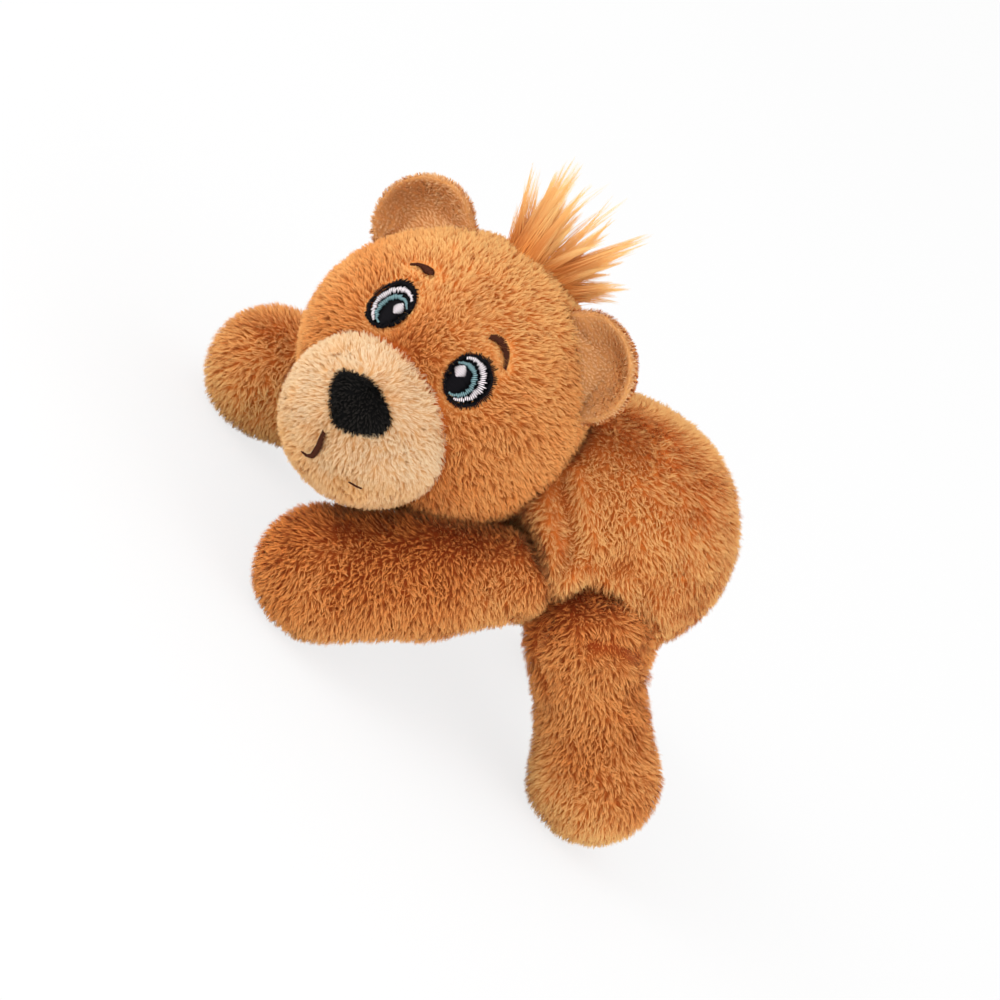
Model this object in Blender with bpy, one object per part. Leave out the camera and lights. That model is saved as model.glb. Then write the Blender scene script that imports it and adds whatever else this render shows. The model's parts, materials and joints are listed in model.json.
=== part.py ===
"""Small plush bear that lies on its belly and grips a rail between its left and right paws.

World frame: +Z up, the body points along -Y (tail end at +Y), the bear's left side is +X.
It stands on its four paws at z = 0. All sizes below are millimetres.
"""

import bpy
import numpy as np
from math import atan2, cos, pi, radians, sin
from mathutils import Euler, Vector

MM = 0.001

# Fabric and clearances
SKIN = 1.5
STUFFING_GAP = 0.3
FOLD_STUFFING_GAP = 0.8
SEAM_GAP = 0.3
JOINT_GAP = 1.1
NECK_GAP = 0.5
CHIN_GAP = 1.0
PAW_FLAT = 0.5

# Body
RUMP_CENTRE = (0.0, 18.8, 42.3)
RUMP_RADIUS = 24.0
CHEST_CENTRE = (0.0, 6.0, 41.0)
CHEST_RADIUS = 18.5
WAIST_BLEND = 10.0
CREASE_BLEND = 4.0
NECK_HOLE_RADIUS = 11.0

# Head, turned, nodded and tilted about its centre
HEAD_CENTRE = (0.5, -24.7, 47.2)
HEAD_RADIUS = 26.3
HEAD_TURN = 55.1
HEAD_NOD = -1.9
HEAD_TILT = -7.7
HEAD_TURN_RANGE = (-30.0, 8.0)

# Limbs: shoulder or hip ball, paw ball, and the three radii between them
ARM_LEFT_ROOT = (20.5, 5.4, 29.8)
ARM_LEFT_PAW = (26.1, -23.5)
ARM_RIGHT_ROOT = (-21.9, 3.5, 30.0)
ARM_RIGHT_PAW = (-32.0, -38.9)
ARM_ROOT_RADIUS = 9.6
ARM_WRIST_RADIUS = 10.4
ARM_PAW_RADIUS = 12.0
LEG_ROOT = (21.0, 25.6, 29.3)
LEG_PAW = (25.7, 42.5)
LEG_ROOT_RADIUS = 11.0
LEG_ANKLE_RADIUS = 9.6
LEG_PAW_RADIUS = 11.9
LIMB_SWING = (-15.0, 40.0)
CUFF_ANGLE = 42.0

# Magnets sewn into the palms
MAGNET_RADIUS = 4.5
MAGNET_THICKNESS = 2.0
POUCH_WALL = 0.5
POUCH_GAP = 0.2
PALM_GAP = 0.8
PALM_SEAT_MARGIN = 2.5
PALM_SLOPE = 0.5

# Face
MUZZLE_CENTRE = (0.0, -19.5, -10.3)
MUZZLE_RADII = (15.2, 16.8, 14.6)
NOSE_CENTRE = (0.0, -34.6, -4.7)
NOSE_HALF_WIDTH = 6.6
NOSE_HALF_HEIGHT = 5.6
NOSE_THICKNESS = 2.6
EYE_SIDE = 10.3
EYE_HEIGHT = 9.2
EYE_HALF_WIDTH = 4.3
EYE_HALF_HEIGHT = 5.2
BROW_SIDE = 10.7
BROW_HEIGHT = 16.6
THREAD_THICKNESS = 0.6
OVERLAY_THICKNESS = 0.35
OVERLAY_GAP = 0.08
STITCH_GAP = 0.1

# Ears
EAR_LEFT = (20.0, 0.5, 18.6)
EAR_RIGHT = (-21.2, -0.5, 17.2)
EAR_HALF_WIDTH = 10.6
EAR_HALF_HEIGHT = 9.4
EAR_CUP = 3.0
EAR_CORE_LIFT = 3.5
EAR_PANEL = 1.3

# Tuft of long hair
TUFT_BASE = (-1.5, 8.6, 26.0)
TUFT_LENGTH = 17.0
TUFT_HALF_WIDTH = 7.0
TUFT_HALF_DEPTH = 3.2
TUFT_LEAN = 24.0

# Counts
BODY_SEGMENTS = 34
HEAD_SEGMENTS = 28
LIMB_SEGMENTS = 16
MUZZLE_SEGMENTS = 24
EAR_SEGMENTS = 24
TUFT_SEGMENTS = 24
PATCH_SEGMENTS = 16
DISC_SEGMENTS = 16


def unit(vector):
    vector = np.asarray(vector, float)
    return vector / np.linalg.norm(vector, axis=-1, keepdims=True)


def head_turned():
    return Euler((radians(HEAD_NOD), radians(HEAD_TILT), radians(HEAD_TURN)), "YXZ")


def head_frame():
    """Axes of the head in world space: columns are its left, its back and its up."""
    return np.array(head_turned().to_matrix())


# Distance fields, negative inside


def ball(points, centre, radius):
    return np.linalg.norm(points - np.asarray(centre), axis=-1) - radius


def egg(points, centre, radii):
    """Ellipsoid, as a scaled distance."""
    scaled = (points - np.asarray(centre)) / np.asarray(radii)
    return (np.linalg.norm(scaled, axis=-1) - 1.0) * min(radii)


def round_cone(points, a, b, radius_a, radius_b):
    """Distance to the hull of two balls, near enough: the radius runs evenly from a to b."""
    a = np.asarray(a, float)
    span = np.asarray(b, float) - a
    share = np.clip((points - a) @ span / (span @ span), 0.0, 1.0)
    nearest = a + share[..., None] * span
    radius = radius_a + (radius_b - radius_a) * share
    return np.linalg.norm(points - nearest, axis=-1) - radius


def soft_union(first, second, blend):
    mix = np.clip(0.5 + 0.5 * (second - first) / blend, 0.0, 1.0)
    return second + (first - second) * mix - blend * mix * (1.0 - mix)


def soft_cut(field, cutter, blend):
    """The field without what lies inside the cutter's negative, with the edge between them rounded."""
    return -soft_union(-field, -cutter, blend)


def swing(points, root, degrees):
    """Points turned about the Y axis through the root."""
    turn = radians(degrees)
    moved = points - np.asarray(root)
    x = moved[..., 0] * cos(turn) + moved[..., 2] * sin(turn)
    z = moved[..., 2] * cos(turn) - moved[..., 0] * sin(turn)
    return np.stack([x, moved[..., 1], z], axis=-1) + np.asarray(root)


# Limbs as records of one shape


def limb(root, paw, root_radius, middle_radius, paw_radius, side):
    return {
        "root": np.array(root, float),
        "paw": np.array([paw[0], paw[1], paw_radius - PAW_FLAT]),
        "radii": (root_radius, middle_radius, paw_radius),
        "side": side,
    }


def mirrored(point):
    return (-point[0], *point[1:])


def limbs():
    arm = (ARM_ROOT_RADIUS, ARM_WRIST_RADIUS, ARM_PAW_RADIUS)
    leg = (LEG_ROOT_RADIUS, LEG_ANKLE_RADIUS, LEG_PAW_RADIUS)
    return {
        "arm_left": limb(ARM_LEFT_ROOT, ARM_LEFT_PAW, *arm, 1.0),
        "arm_right": limb(ARM_RIGHT_ROOT, ARM_RIGHT_PAW, *arm, -1.0),
        "leg_left": limb(LEG_ROOT, LEG_PAW, *leg, 1.0),
        "leg_right": limb(mirrored(LEG_ROOT), mirrored(LEG_PAW), *leg, -1.0),
    }


def limb_form(points, shape):
    """Shoulder ball, a slimmer middle and a fuller paw."""
    root, paw = shape["root"], shape["paw"]
    root_radius, middle_radius, paw_radius = shape["radii"]
    middle = root + 0.45 * (paw - root)
    upper = round_cone(points, root, middle, root_radius, middle_radius)
    lower = round_cone(points, middle, paw, middle_radius, paw_radius)
    return np.minimum(upper, lower)


def limb_swept(points, shape):
    """Everything the limb passes through as it swings, as seen from the body."""
    low, high = LIMB_SWING
    found = None
    for degrees in np.linspace(low, high, 9):
        # A left limb opens by a negative turn about +Y, a right limb by a positive one.
        turned = swing(points, shape["root"], shape["side"] * degrees)
        field = limb_form(turned, shape)
        found = field if found is None else np.minimum(found, field)
    return found


def head_from_limb(points, shape):
    """The head and its muzzle, as the swinging limb meets them while the head turns."""
    frame = head_frame()
    muzzle_radii = [radius + CHIN_GAP for radius in MUZZLE_RADII]
    found = None
    for degrees in np.linspace(LIMB_SWING[0], LIMB_SWING[1], 9):
        turned = swing(points, shape["root"], -shape["side"] * degrees)
        fields = [ball(turned, HEAD_CENTRE, HEAD_RADIUS + CHIN_GAP)]
        in_head = (turned - np.asarray(HEAD_CENTRE)) @ frame
        for turn in (HEAD_TURN_RANGE[0], 0.0, HEAD_TURN_RANGE[1]):
            muzzle_turn = np.array(Euler((0.0, 0.0, radians(turn))).to_matrix())
            fields.append(egg(in_head @ muzzle_turn, MUZZLE_CENTRE, muzzle_radii))
        fields = fields if found is None else fields + [found]
        found = np.minimum.reduce(fields)
    return found


def limb_outer(points, shape, inset=0.0):
    field = limb_form(points, shape) + inset
    return np.maximum(field, inset - head_from_limb(points, shape))


def body_outer(points, shapes, inset=0.0):
    rump = ball(points, RUMP_CENTRE, RUMP_RADIUS)
    chest = ball(points, CHEST_CENTRE, CHEST_RADIUS)
    field = soft_union(rump, chest, WAIST_BLEND) + inset
    field = np.maximum(field, HEAD_RADIUS + NECK_GAP + inset - ball(points, HEAD_CENTRE, 0.0))
    for shape in shapes.values():
        field = soft_cut(field, JOINT_GAP + inset - limb_swept(points, shape), CREASE_BLEND)
    return field


# Lattices: rays from stations along a spine meet the field


def slerp(a, b, share):
    a, b = unit(a), unit(b)
    angle = np.arccos(np.clip(a @ b, -1.0, 1.0))
    if angle < 1e-6:
        return a
    return (sin((1.0 - share) * angle) * a + sin(share * angle) * b) / sin(angle)


def ring_directions(axis, polar, segments, side_hint):
    """Unit vectors at a polar angle (degrees, one or one each) from the backward pole of the axis."""
    axis = unit(axis)
    across = unit(np.asarray(side_hint) - (np.asarray(side_hint) @ axis) * axis)
    along = np.cross(axis, across)
    turn = turns(segments)
    flat = np.outer(np.cos(turn), across) + np.outer(np.sin(turn), along)
    polar = np.radians(np.broadcast_to(polar, segments))[:, None]
    return -np.cos(polar) * axis + np.sin(polar) * flat


def fan_directions(axis, pole, share, edge, segments, side_hint):
    """Unit vectors on the way from the ring round the axis (share 0) to the edge angle about a pole (1)."""
    ring = ring_directions(axis, 90.0, segments, side_hint)
    beside = unit(ring - np.outer(ring @ pole, pole))
    angle = radians(edge) + (1.0 - share) * (np.arccos(ring @ pole) - radians(edge))
    return np.cos(angle)[:, None] * pole + np.sin(angle)[:, None] * beside


def ray_hits(field, centre, directions, reach=60.0, steps=150):
    """First point along each ray where the field turns positive."""
    distances = np.linspace(0.0, reach, steps + 1)
    samples = centre + distances[None, :, None] * directions[:, None, :]
    outside = field(samples) > 0.0
    outside[:, -1] = True
    first = np.maximum(outside.argmax(axis=1), 1)
    low, high = distances[first - 1], distances[first]
    for _ in range(24):
        middle = 0.5 * (low + high)
        beyond = field(centre + middle[:, None] * directions) > 0.0
        low = np.where(beyond, low, middle)
        high = np.where(beyond, middle, high)
    return centre + low[:, None] * directions


def station(centre, axis, polar, segments, side_hint):
    """A centre and the ring of rays from it at a polar angle. Angles 0 and 180 have a single ray."""
    count = 1 if polar in (0.0, 180.0) else segments
    return np.asarray(centre, float), ring_directions(axis, polar, count, side_hint)


def cast_rings(field, stations):
    """One ring of points for each station."""
    return [ray_hits(field, centre, directions) for centre, directions in stations]


def skin_rings(field_at, stations, inset):
    """An open-mouthed bag: outer rings from tip to mouth, then inner rings back to the tip."""
    outer = cast_rings(lambda p: field_at(p, 0.0), stations)
    inner = cast_rings(lambda p: field_at(p, inset), stations)
    return outer[::-1] + inner


# Meshes and objects


def material(name, colour, roughness, metallic=0.0):
    made = bpy.data.materials.new(name)
    made.use_nodes = True
    shader = made.node_tree.nodes["Principled BSDF"]
    shader.inputs["Base Color"].default_value = (*colour, 1.0)
    shader.inputs["Roughness"].default_value = roughness
    shader.inputs["Metallic"].default_value = metallic
    return made


def plush():
    return material("orange_brown_plush", (0.50, 0.20, 0.07), 0.95)


def cream_plush():
    return material("cream_plush", (0.78, 0.53, 0.29), 0.95)


def ear_velour():
    return material("tan_velour", (0.55, 0.29, 0.13), 0.9)


def tuft_hair():
    return material("golden_long_pile", (0.62, 0.26, 0.07), 0.8)


def black_plush():
    return material("black_plush", (0.012, 0.011, 0.011), 0.85)


def fibre():
    return material("white_fibre", (0.86, 0.85, 0.82), 1.0)


def pouch_cloth():
    return material("pouch_cloth", (0.70, 0.68, 0.63), 0.95)


def nickel():
    return material("nickel", (0.66, 0.64, 0.60), 0.25, 1.0)


def thread(name, colour):
    return material(name, colour, 0.45)


def empty_at(name, location, rotation=None):
    pivot = bpy.data.objects.new(name, None)
    pivot.location = Vector(location) * MM
    if rotation is not None:
        pivot.rotation_mode = "YXZ"
        pivot.rotation_euler = rotation
    pivot.empty_display_size = 0.01
    bpy.context.scene.collection.objects.link(pivot)
    return pivot


def ring_mesh(name, rings):
    """Closed mesh through rings of equal count that begins and ends in a single point."""
    points = np.concatenate(rings)
    starts = np.cumsum([0] + [len(ring) for ring in rings])
    faces = []
    for row in range(len(rings) - 1):
        a, b = starts[row], starts[row + 1]
        count_a, count_b = len(rings[row]), len(rings[row + 1])
        count = max(count_a, count_b)
        for k in range(count):
            n = (k + 1) % count
            if count_a == 1:
                faces.append((a, b + k, b + n))
            elif count_b == 1:
                faces.append((a + n, a + k, b))
            else:
                faces.append((a + n, a + k, b + k))
                faces.append((a + n, b + k, b + n))
    faces = np.array(faces)
    corners = (points - points.mean(axis=0))[faces]
    if np.linalg.det(corners).sum() < 0.0:
        faces = faces[:, ::-1]
    mesh = bpy.data.meshes.new(name)
    mesh.from_pydata((points * MM).tolist(), [], faces.tolist())
    mesh.shade_smooth()
    mesh.set_sharp_from_angle(angle=radians(50.0))
    return mesh


def add_piece(name, rings, look, pivot=None, offset=(0.0, 0.0, 0.0)):
    shifted = [np.asarray(ring, float) - np.asarray(offset) for ring in rings]
    mesh = ring_mesh(name, shifted)
    mesh.materials.append(look)
    piece = bpy.data.objects.new(name, mesh)
    bpy.context.scene.collection.objects.link(piece)
    if pivot is not None:
        piece.parent = pivot
    return piece


def body_core():
    """Point inside the body, half way from the rump's centre to the chest's."""
    return 0.5 * (np.asarray(CHEST_CENTRE) + np.asarray(RUMP_CENTRE))


def build_body(shapes, root):
    """Pear-shaped sack with a round neck hole, and its stuffing."""
    rear = np.asarray(RUMP_CENTRE)
    front = body_core()
    neck_axis = unit(front - np.asarray(HEAD_CENTRE))
    depth = np.linalg.norm(front - np.asarray(HEAD_CENTRE)) - HEAD_RADIUS
    mouth = np.degrees(atan2(NECK_HOLE_RADIUS, depth))
    rear_axis = np.array((0.0, 1.0, 0.0))
    lattice = (BODY_SEGMENTS, (1.0, 0.0, 0.0))
    stations = []
    for share in np.linspace(0.0, 1.0, 5):
        stations.append(station(front, neck_axis, mouth + share * (84.0 - mouth), *lattice))
    for share in (0.33, 0.67):
        centre = front + share * (rear - front)
        stations.append(station(centre, slerp(neck_axis, rear_axis, share), 90.0, *lattice))
    for polar in np.linspace(95.0, 180.0, 9):
        stations.append(station(rear, rear_axis, float(polar), *lattice))

    def field_at(points, inset):
        return body_outer(points, shapes, inset)

    add_piece("body_skin", skin_rings(field_at, stations, SKIN), plush(), root)
    inset = SKIN + FOLD_STUFFING_GAP
    pole = [station(front, neck_axis, 0.0, *lattice)]
    stuffing = cast_rings(lambda p: field_at(p, inset), pole + stations[1:])
    add_piece("body_stuffing", stuffing, fibre(), root)


def limb_stations(shape):
    """Rings from the cuff, which faces the body, along the limb and round its paw to the flat sole."""
    root, paw = shape["root"], shape["paw"]
    outward = unit(root - body_core())
    line = unit(paw - root)
    down = np.array((0.0, 0.0, -1.0))
    lattice = (LIMB_SEGMENTS, (1.0, 0.0, 0.0))
    stations = [station(root, outward, polar, *lattice) for polar in (CUFF_ANGLE, 66.0)]
    for share in (0.0, 0.16, 0.33, 0.5, 0.66, 0.83):
        axis = slerp(outward, line, min(2.0 * share, 1.0))
        stations.append(station(root + share * (paw - root), axis, 90.0, *lattice))
    radius = shape["radii"][2]
    sole_edge = float(np.degrees(np.arccos((radius - PAW_FLAT) / radius)))
    for share in (0.0, 0.2, 0.4, 0.6, 0.8, 1.0):
        stations.append((paw, fan_directions(line, down, share, sole_edge, *lattice)))
    stations.append(station(paw, down, 180.0, *lattice))
    return stations


def palm_depth(shape):
    """Distance from the paw's centre to the flat seat cut into its stuffing."""
    inner = shape["radii"][2] - SKIN
    pouch_radius = MAGNET_RADIUS + POUCH_GAP + POUCH_WALL
    front = np.sqrt((inner - PALM_GAP) ** 2 - pouch_radius**2)
    return front - POUCH_WALL - POUCH_GAP - MAGNET_THICKNESS - POUCH_GAP - STUFFING_GAP


def build_limb(name, shape):
    """Sock with an open cuff at its root, its stuffing, and the magnet in its pouch."""
    root = shape["root"]
    pivot = empty_at(name + "_pivot", root)
    stations = limb_stations(shape)

    def field_at(points, inset):
        floor = inset - points[..., 2]
        return np.maximum(limb_outer(points, shape, inset), floor)

    add_piece(name + "_skin", skin_rings(field_at, stations, SKIN), plush(), pivot, root)

    seat = palm_depth(shape)
    inset = SKIN + FOLD_STUFFING_GAP
    recess = MAGNET_RADIUS + POUCH_GAP + POUCH_WALL + PALM_SEAT_MARGIN
    line = unit(shape["paw"] - root)

    def stuffing_field(points):
        from_paw = points - shape["paw"]
        depth = -shape["side"] * from_paw[..., 0] - seat
        up_limb = np.maximum(-(from_paw @ line) - recess, 0.0)
        return np.maximum(field_at(points, inset), depth - PALM_SLOPE * up_limb)

    pole = (root, unit(body_core() - root)[None, :])
    stuffing = cast_rings(stuffing_field, [pole] + stations)
    add_piece(name + "_stuffing", stuffing, fibre(), pivot, root)
    build_magnet(name, shape, pivot, seat + STUFFING_GAP)


def turned_rings(profile, centre, axis, segments):
    """Rings turned about an axis from (radius, height) pairs. Radius 0 gives a single point."""
    rings = []
    for radius, height in profile:
        count = 1 if radius == 0.0 else segments
        flat = ring_directions(axis, 90.0, count, (0.0, 0.0, 1.0))
        rings.append(np.asarray(centre) + np.asarray(axis) * height + radius * flat)
    return rings


def build_magnet(name, shape, pivot, start):
    """A disc magnet in a cloth pouch behind the palm, facing the rail."""
    inward = np.array((-shape["side"], 0.0, 0.0))
    centre = shape["paw"] + inward * start
    inside = MAGNET_RADIUS + POUCH_GAP
    outside = inside + POUCH_WALL
    floor = POUCH_GAP + MAGNET_THICKNESS + POUCH_GAP
    top = floor + POUCH_WALL
    low_side = [(0.0, floor), (inside, floor), (inside, 0.0)]
    pouch = low_side + [(outside, 0.0), (outside, top), (0.0, top)]
    rings = turned_rings(pouch, centre, inward, DISC_SEGMENTS)
    add_piece(name + "_pouch", rings, pouch_cloth(), pivot, shape["root"])
    low, high, edge = POUCH_GAP, POUCH_GAP + MAGNET_THICKNESS, 0.25
    disc = [
        (0.0, low),
        (MAGNET_RADIUS - edge, low),
        (MAGNET_RADIUS, low + edge),
        (MAGNET_RADIUS, high - edge),
        (MAGNET_RADIUS - edge, high),
        (0.0, high),
    ]
    rings = turned_rings(disc, centre, inward, DISC_SEGMENTS)
    add_piece(name + "_magnet", rings, nickel(), pivot, shape["root"])


# Head, in its own frame: +X its left, +Y its back, +Z up, origin at its centre


def build_head_ball(frame, pivot):
    """Round head, open at the neck, and its stuffing."""
    neck = frame.T @ unit(body_core() - np.asarray(HEAD_CENTRE))
    mouth = float(np.degrees(np.arcsin(NECK_HOLE_RADIUS / HEAD_RADIUS)))
    lattice = (HEAD_SEGMENTS, (0.0, 0.0, 1.0))
    angles = np.linspace(mouth, 180.0, 15)
    stations = [station(np.zeros(3), -neck, float(polar), *lattice) for polar in angles]

    def field_at(points, inset):
        return ball(points, (0.0, 0.0, 0.0), HEAD_RADIUS - inset)

    add_piece("head_skin", skin_rings(field_at, stations, SKIN), plush(), pivot)
    inset = SKIN + STUFFING_GAP
    pole = [station(np.zeros(3), -neck, 0.0, *lattice)]
    stuffing = cast_rings(lambda p: field_at(p, inset), pole + stations)
    add_piece("head_stuffing", stuffing, fibre(), pivot)


def muzzle_field(points, inset):
    return egg(points, MUZZLE_CENTRE, [radius - inset for radius in MUZZLE_RADII])


def cap_rings(field, centre, axis, seat, rows, segments):
    """Rings from the line where a swelling leaves the ball of radius seat to its front pole."""
    side = (1.0, 0.0, 0.0)
    low, high = np.full(segments, 20.0), np.full(segments, 175.0)
    for _ in range(20):
        middle = 0.5 * (low + high)
        hits = ray_hits(field, centre, ring_directions(axis, middle, segments, side))
        inside = np.linalg.norm(hits, axis=1) < seat
        low, high = np.where(inside, middle, low), np.where(inside, high, middle)
    rings = []
    for share in np.linspace(0.0, 1.0, rows)[:-1]:
        polar = high + share * (180.0 - high)
        rings.append(ray_hits(field, centre, ring_directions(axis, polar, segments, side)))
    rings.append(ray_hits(field, centre, unit(axis)[None, :]))
    return rings


def build_muzzle(pivot):
    """Padded cup sewn to the face, and its own stuffing."""
    centre = np.asarray(MUZZLE_CENTRE)
    front = unit((0.0, -1.0, -0.25))
    seat = HEAD_RADIUS + SEAM_GAP
    outer = cap_rings(lambda p: muzzle_field(p, 0.0), centre, front, seat, 9, MUZZLE_SEGMENTS)
    inner = cap_rings(lambda p: muzzle_field(p, SKIN), centre, front, seat, 9, MUZZLE_SEGMENTS)
    add_piece("muzzle_skin", outer[::-1] + inner, cream_plush(), pivot)
    inset = SKIN + STUFFING_GAP
    stuffing = cap_rings(lambda p: muzzle_field(p, inset), centre, front, seat, 9, MUZZLE_SEGMENTS)
    rim = stuffing[0]
    middle = unit(rim.mean(axis=0, keepdims=True)) * seat
    back = [unit(middle + share * (rim - middle)) * seat for share in (0.33, 0.66)]
    add_piece("muzzle_stuffing", [middle] + back + stuffing, fibre(), pivot)


def turns(count):
    """Angles evenly round a circle."""
    return np.arange(count) * 2.0 * pi / count


def aims_beside(reach, right, up, x, z):
    """Directions from the origin of a round surface to points x and z millimetres beside its middle."""
    return unit(reach + x[:, None] * right + z[:, None] * up)


def patch_frame(middle, origin):
    out = unit(np.asarray(middle, float) - origin)
    right = unit(np.cross((0.0, 0.0, 1.0), out))
    up = np.cross(out, right)
    return out, right, up


def pad(name, place, outline, lift, height, look, pivot, rows=4):
    """Cushion on a round surface. outline(angle) gives its half size, height(u) its thickness."""
    field, origin, middle = place
    origin = np.asarray(origin, float)
    out, right, up = patch_frame(middle, origin)
    base = ray_hits(field, origin, out[None, :])[0]
    x, z = outline(turns(PATCH_SEGMENTS))

    def ring(share, rise):
        if share == 0.0:
            aims = out[None, :]
        else:
            aims = aims_beside(base - origin, right, up, share * x, share * z)
        hits = ray_hits(field, origin, aims)
        return hits + aims * rise

    shares = np.linspace(0.0, 1.0, rows + 1)
    top = [ring(share, lift + height(share)) for share in shares]
    bottom = [ring(share, lift) for share in shares[::-1]]
    add_piece(name, top + bottom, look, pivot)


def stroke(name, place, path, widths, lift, thickness, look, pivot):
    """Raised line of thread on a round surface, along (x, z) points beside the middle of its place."""
    field, origin, middle = place
    origin = np.asarray(origin, float)
    out, right, up = patch_frame(middle, origin)
    base = ray_hits(field, origin, out[None, :])[0]
    path = np.asarray(path, float)
    widths = np.asarray(widths, float)
    heading = unit(np.gradient(path, axis=0))
    across = np.stack([-heading[:, 1], heading[:, 0]], axis=1)

    def point(spot, rise):
        aim = aims_beside(base - origin, right, up, spot[:1], spot[1:])
        return (ray_hits(field, origin, aim) + aim * rise)[0]

    rings = [point(path[0] - 0.4 * widths[0] * heading[0], lift + 0.5 * thickness)[None, :]]
    section = ((-1.0, 0.0), (-1.0, 0.6), (-0.5, 1.0), (0.5, 1.0), (1.0, 0.6), (1.0, 0.0))
    for spot, side, width in zip(path, across, widths):
        ring = [point(spot + side * s * width, lift + rise * thickness) for s, rise in section]
        rings.append(np.array(ring))
    rings.append(point(path[-1] + 0.4 * widths[-1] * heading[-1], lift + 0.5 * thickness)[None, :])
    add_piece(name, rings, look, pivot)


def head_surface(points):
    return ball(points, (0.0, 0.0, 0.0), HEAD_RADIUS)


def muzzle_surface(points):
    return muzzle_field(points, 0.0)


def build_nose(pivot):
    """Rounded trapezoid, wide at the top."""

    def outline(turn):
        power = 0.72
        x = NOSE_HALF_WIDTH * np.sign(np.cos(turn)) * np.abs(np.cos(turn)) ** power
        z = NOSE_HALF_HEIGHT * np.sign(np.sin(turn)) * np.abs(np.sin(turn)) ** power
        return x * (1.0 + 0.22 * z / NOSE_HALF_HEIGHT), z

    def height(share):
        return 0.3 + (NOSE_THICKNESS - 0.3) * np.sqrt(1.0 - share**4)

    place = (muzzle_surface, MUZZLE_CENTRE, NOSE_CENTRE)
    pad("nose", place, outline, SEAM_GAP, height, black_plush(), pivot)


def build_mouth(pivot):
    """Short curved stitch below the nose."""
    middle = (0.0, -32.0, -15.0)
    turn = np.linspace(0.0, 1.0, 9)
    x = -1.8 * turn**2
    z = 3.4 - 5.2 * turn + 0.9 * turn**2
    look = thread("brown_thread", (0.10, 0.035, 0.02))
    path = np.stack([x, z], axis=1)
    widths = 0.45 * np.ones(9)
    place = (muzzle_surface, MUZZLE_CENTRE, middle)
    stroke("mouth", place, path, widths, STITCH_GAP, THREAD_THICKNESS, look, pivot)


def on_head(side, height):
    """Point of the head's front at a side and a height."""
    back = -np.sqrt(HEAD_RADIUS**2 - side**2 - height**2)
    return np.array((side, back, height))


def arc(radius_x, radius_z, start, end, count):
    turn = np.radians(np.linspace(start, end, count))
    return np.stack([radius_x * np.cos(turn), radius_z * np.sin(turn)], axis=1)


def build_eye(label, side, pivot):
    """Embroidered eye: black oval with a teal iris, a white crescent and a white glint."""
    place = (head_surface, (0.0, 0.0, 0.0), on_head(side * EYE_SIDE, EYE_HEIGHT))

    def oval(turn):
        return EYE_HALF_WIDTH * np.cos(turn), EYE_HALF_HEIGHT * np.sin(turn)

    def flat(share):
        return THREAD_THICKNESS * (1.0 - 0.3 * share**4)

    black = thread("black_thread", (0.012, 0.01, 0.012))
    name = "eye_" + label
    pad(name + "_black", place, oval, STITCH_GAP, flat, black, pivot, rows=3)
    lift = STITCH_GAP + THREAD_THICKNESS + OVERLAY_GAP
    taper = np.sin(np.linspace(0.25, pi - 0.25, 13))
    white = arc(0.78 * EYE_HALF_WIDTH, 0.78 * EYE_HALF_HEIGHT, 90 - side * 128, 90 + side * 42, 13)
    look = thread("white_thread", (0.85, 0.80, 0.80))
    stroke(name + "_white", place, white, 0.50 * taper, lift, OVERLAY_THICKNESS, look, pivot)
    iris = arc(0.48 * EYE_HALF_WIDTH, 0.50 * EYE_HALF_HEIGHT, 90 - side * 150, 90 + side * 20, 13)
    look = thread("teal_thread", (0.13, 0.30, 0.33))
    stroke(name + "_iris", place, iris, 0.60 * taper, lift, OVERLAY_THICKNESS, look, pivot)
    share = np.linspace(0.0, 1.0, 5)
    spark = np.stack([-side * (2.0 - 1.1 * share), 0.3 + 1.0 * share], axis=1)
    look = thread("white_thread", (0.85, 0.80, 0.80))
    widths = 0.5 * np.ones(5)
    stroke(name + "_glint", place, spark, widths, lift, OVERLAY_THICKNESS, look, pivot)


def build_brow(label, side, pivot):
    """Short arched line of brown thread above the eye."""
    place = (head_surface, (0.0, 0.0, 0.0), on_head(side * BROW_SIDE, BROW_HEIGHT))
    share = np.linspace(-1.0, 1.0, 9)
    path = np.stack([2.6 * share, 1.1 * (1.0 - share**2) - side * 0.7 * share], axis=1)
    widths = 0.65 * (1.0 - 0.45 * np.abs(share))
    look = thread("brown_thread", (0.06, 0.022, 0.014))
    stroke("brow_" + label, place, path, widths, STITCH_GAP, THREAD_THICKNESS, look, pivot)


def build_ear(label, middle, pivot):
    """Cupped round ear of two panels that meet at their rim, with its foot along the head."""
    middle = np.array(middle)
    up = unit((middle[0], 0.0, middle[2]))
    back = np.array((0.0, 1.0, 0.0))
    across = np.cross(up, back)
    turn = turns(EAR_SEGMENTS)
    seat = HEAD_RADIUS + SEAM_GAP

    def ring(share, depth):
        wide = EAR_HALF_WIDTH * np.cos(turn)
        foot = np.sqrt(seat**2 - wide**2 - (middle[1] + depth) ** 2) - np.hypot(middle[0], middle[2])
        tall = np.where(np.sin(turn) > 0.01, EAR_HALF_HEIGHT * np.sin(turn), foot)
        tall = EAR_CORE_LIFT + share * (tall - EAR_CORE_LIFT)
        cup = EAR_CUP * (1.0 - share**2) + depth
        spots = middle + share * wide[:, None] * across + tall[:, None] * up + cup * back
        return spots[:1] if share == 0.0 else spots

    shares = (0.0, 0.4, 0.7, 0.9, 1.0)
    halves = (("front", ear_velour(), 0.0), ("back", plush(), EAR_PANEL + SEAM_GAP))
    for half, look, start in halves:
        front = [ring(share, start) for share in shares]
        rear = [ring(share, start + EAR_PANEL) for share in shares[::-1]]
        add_piece("ear_" + label + "_" + half, front + rear, look, pivot)


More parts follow.
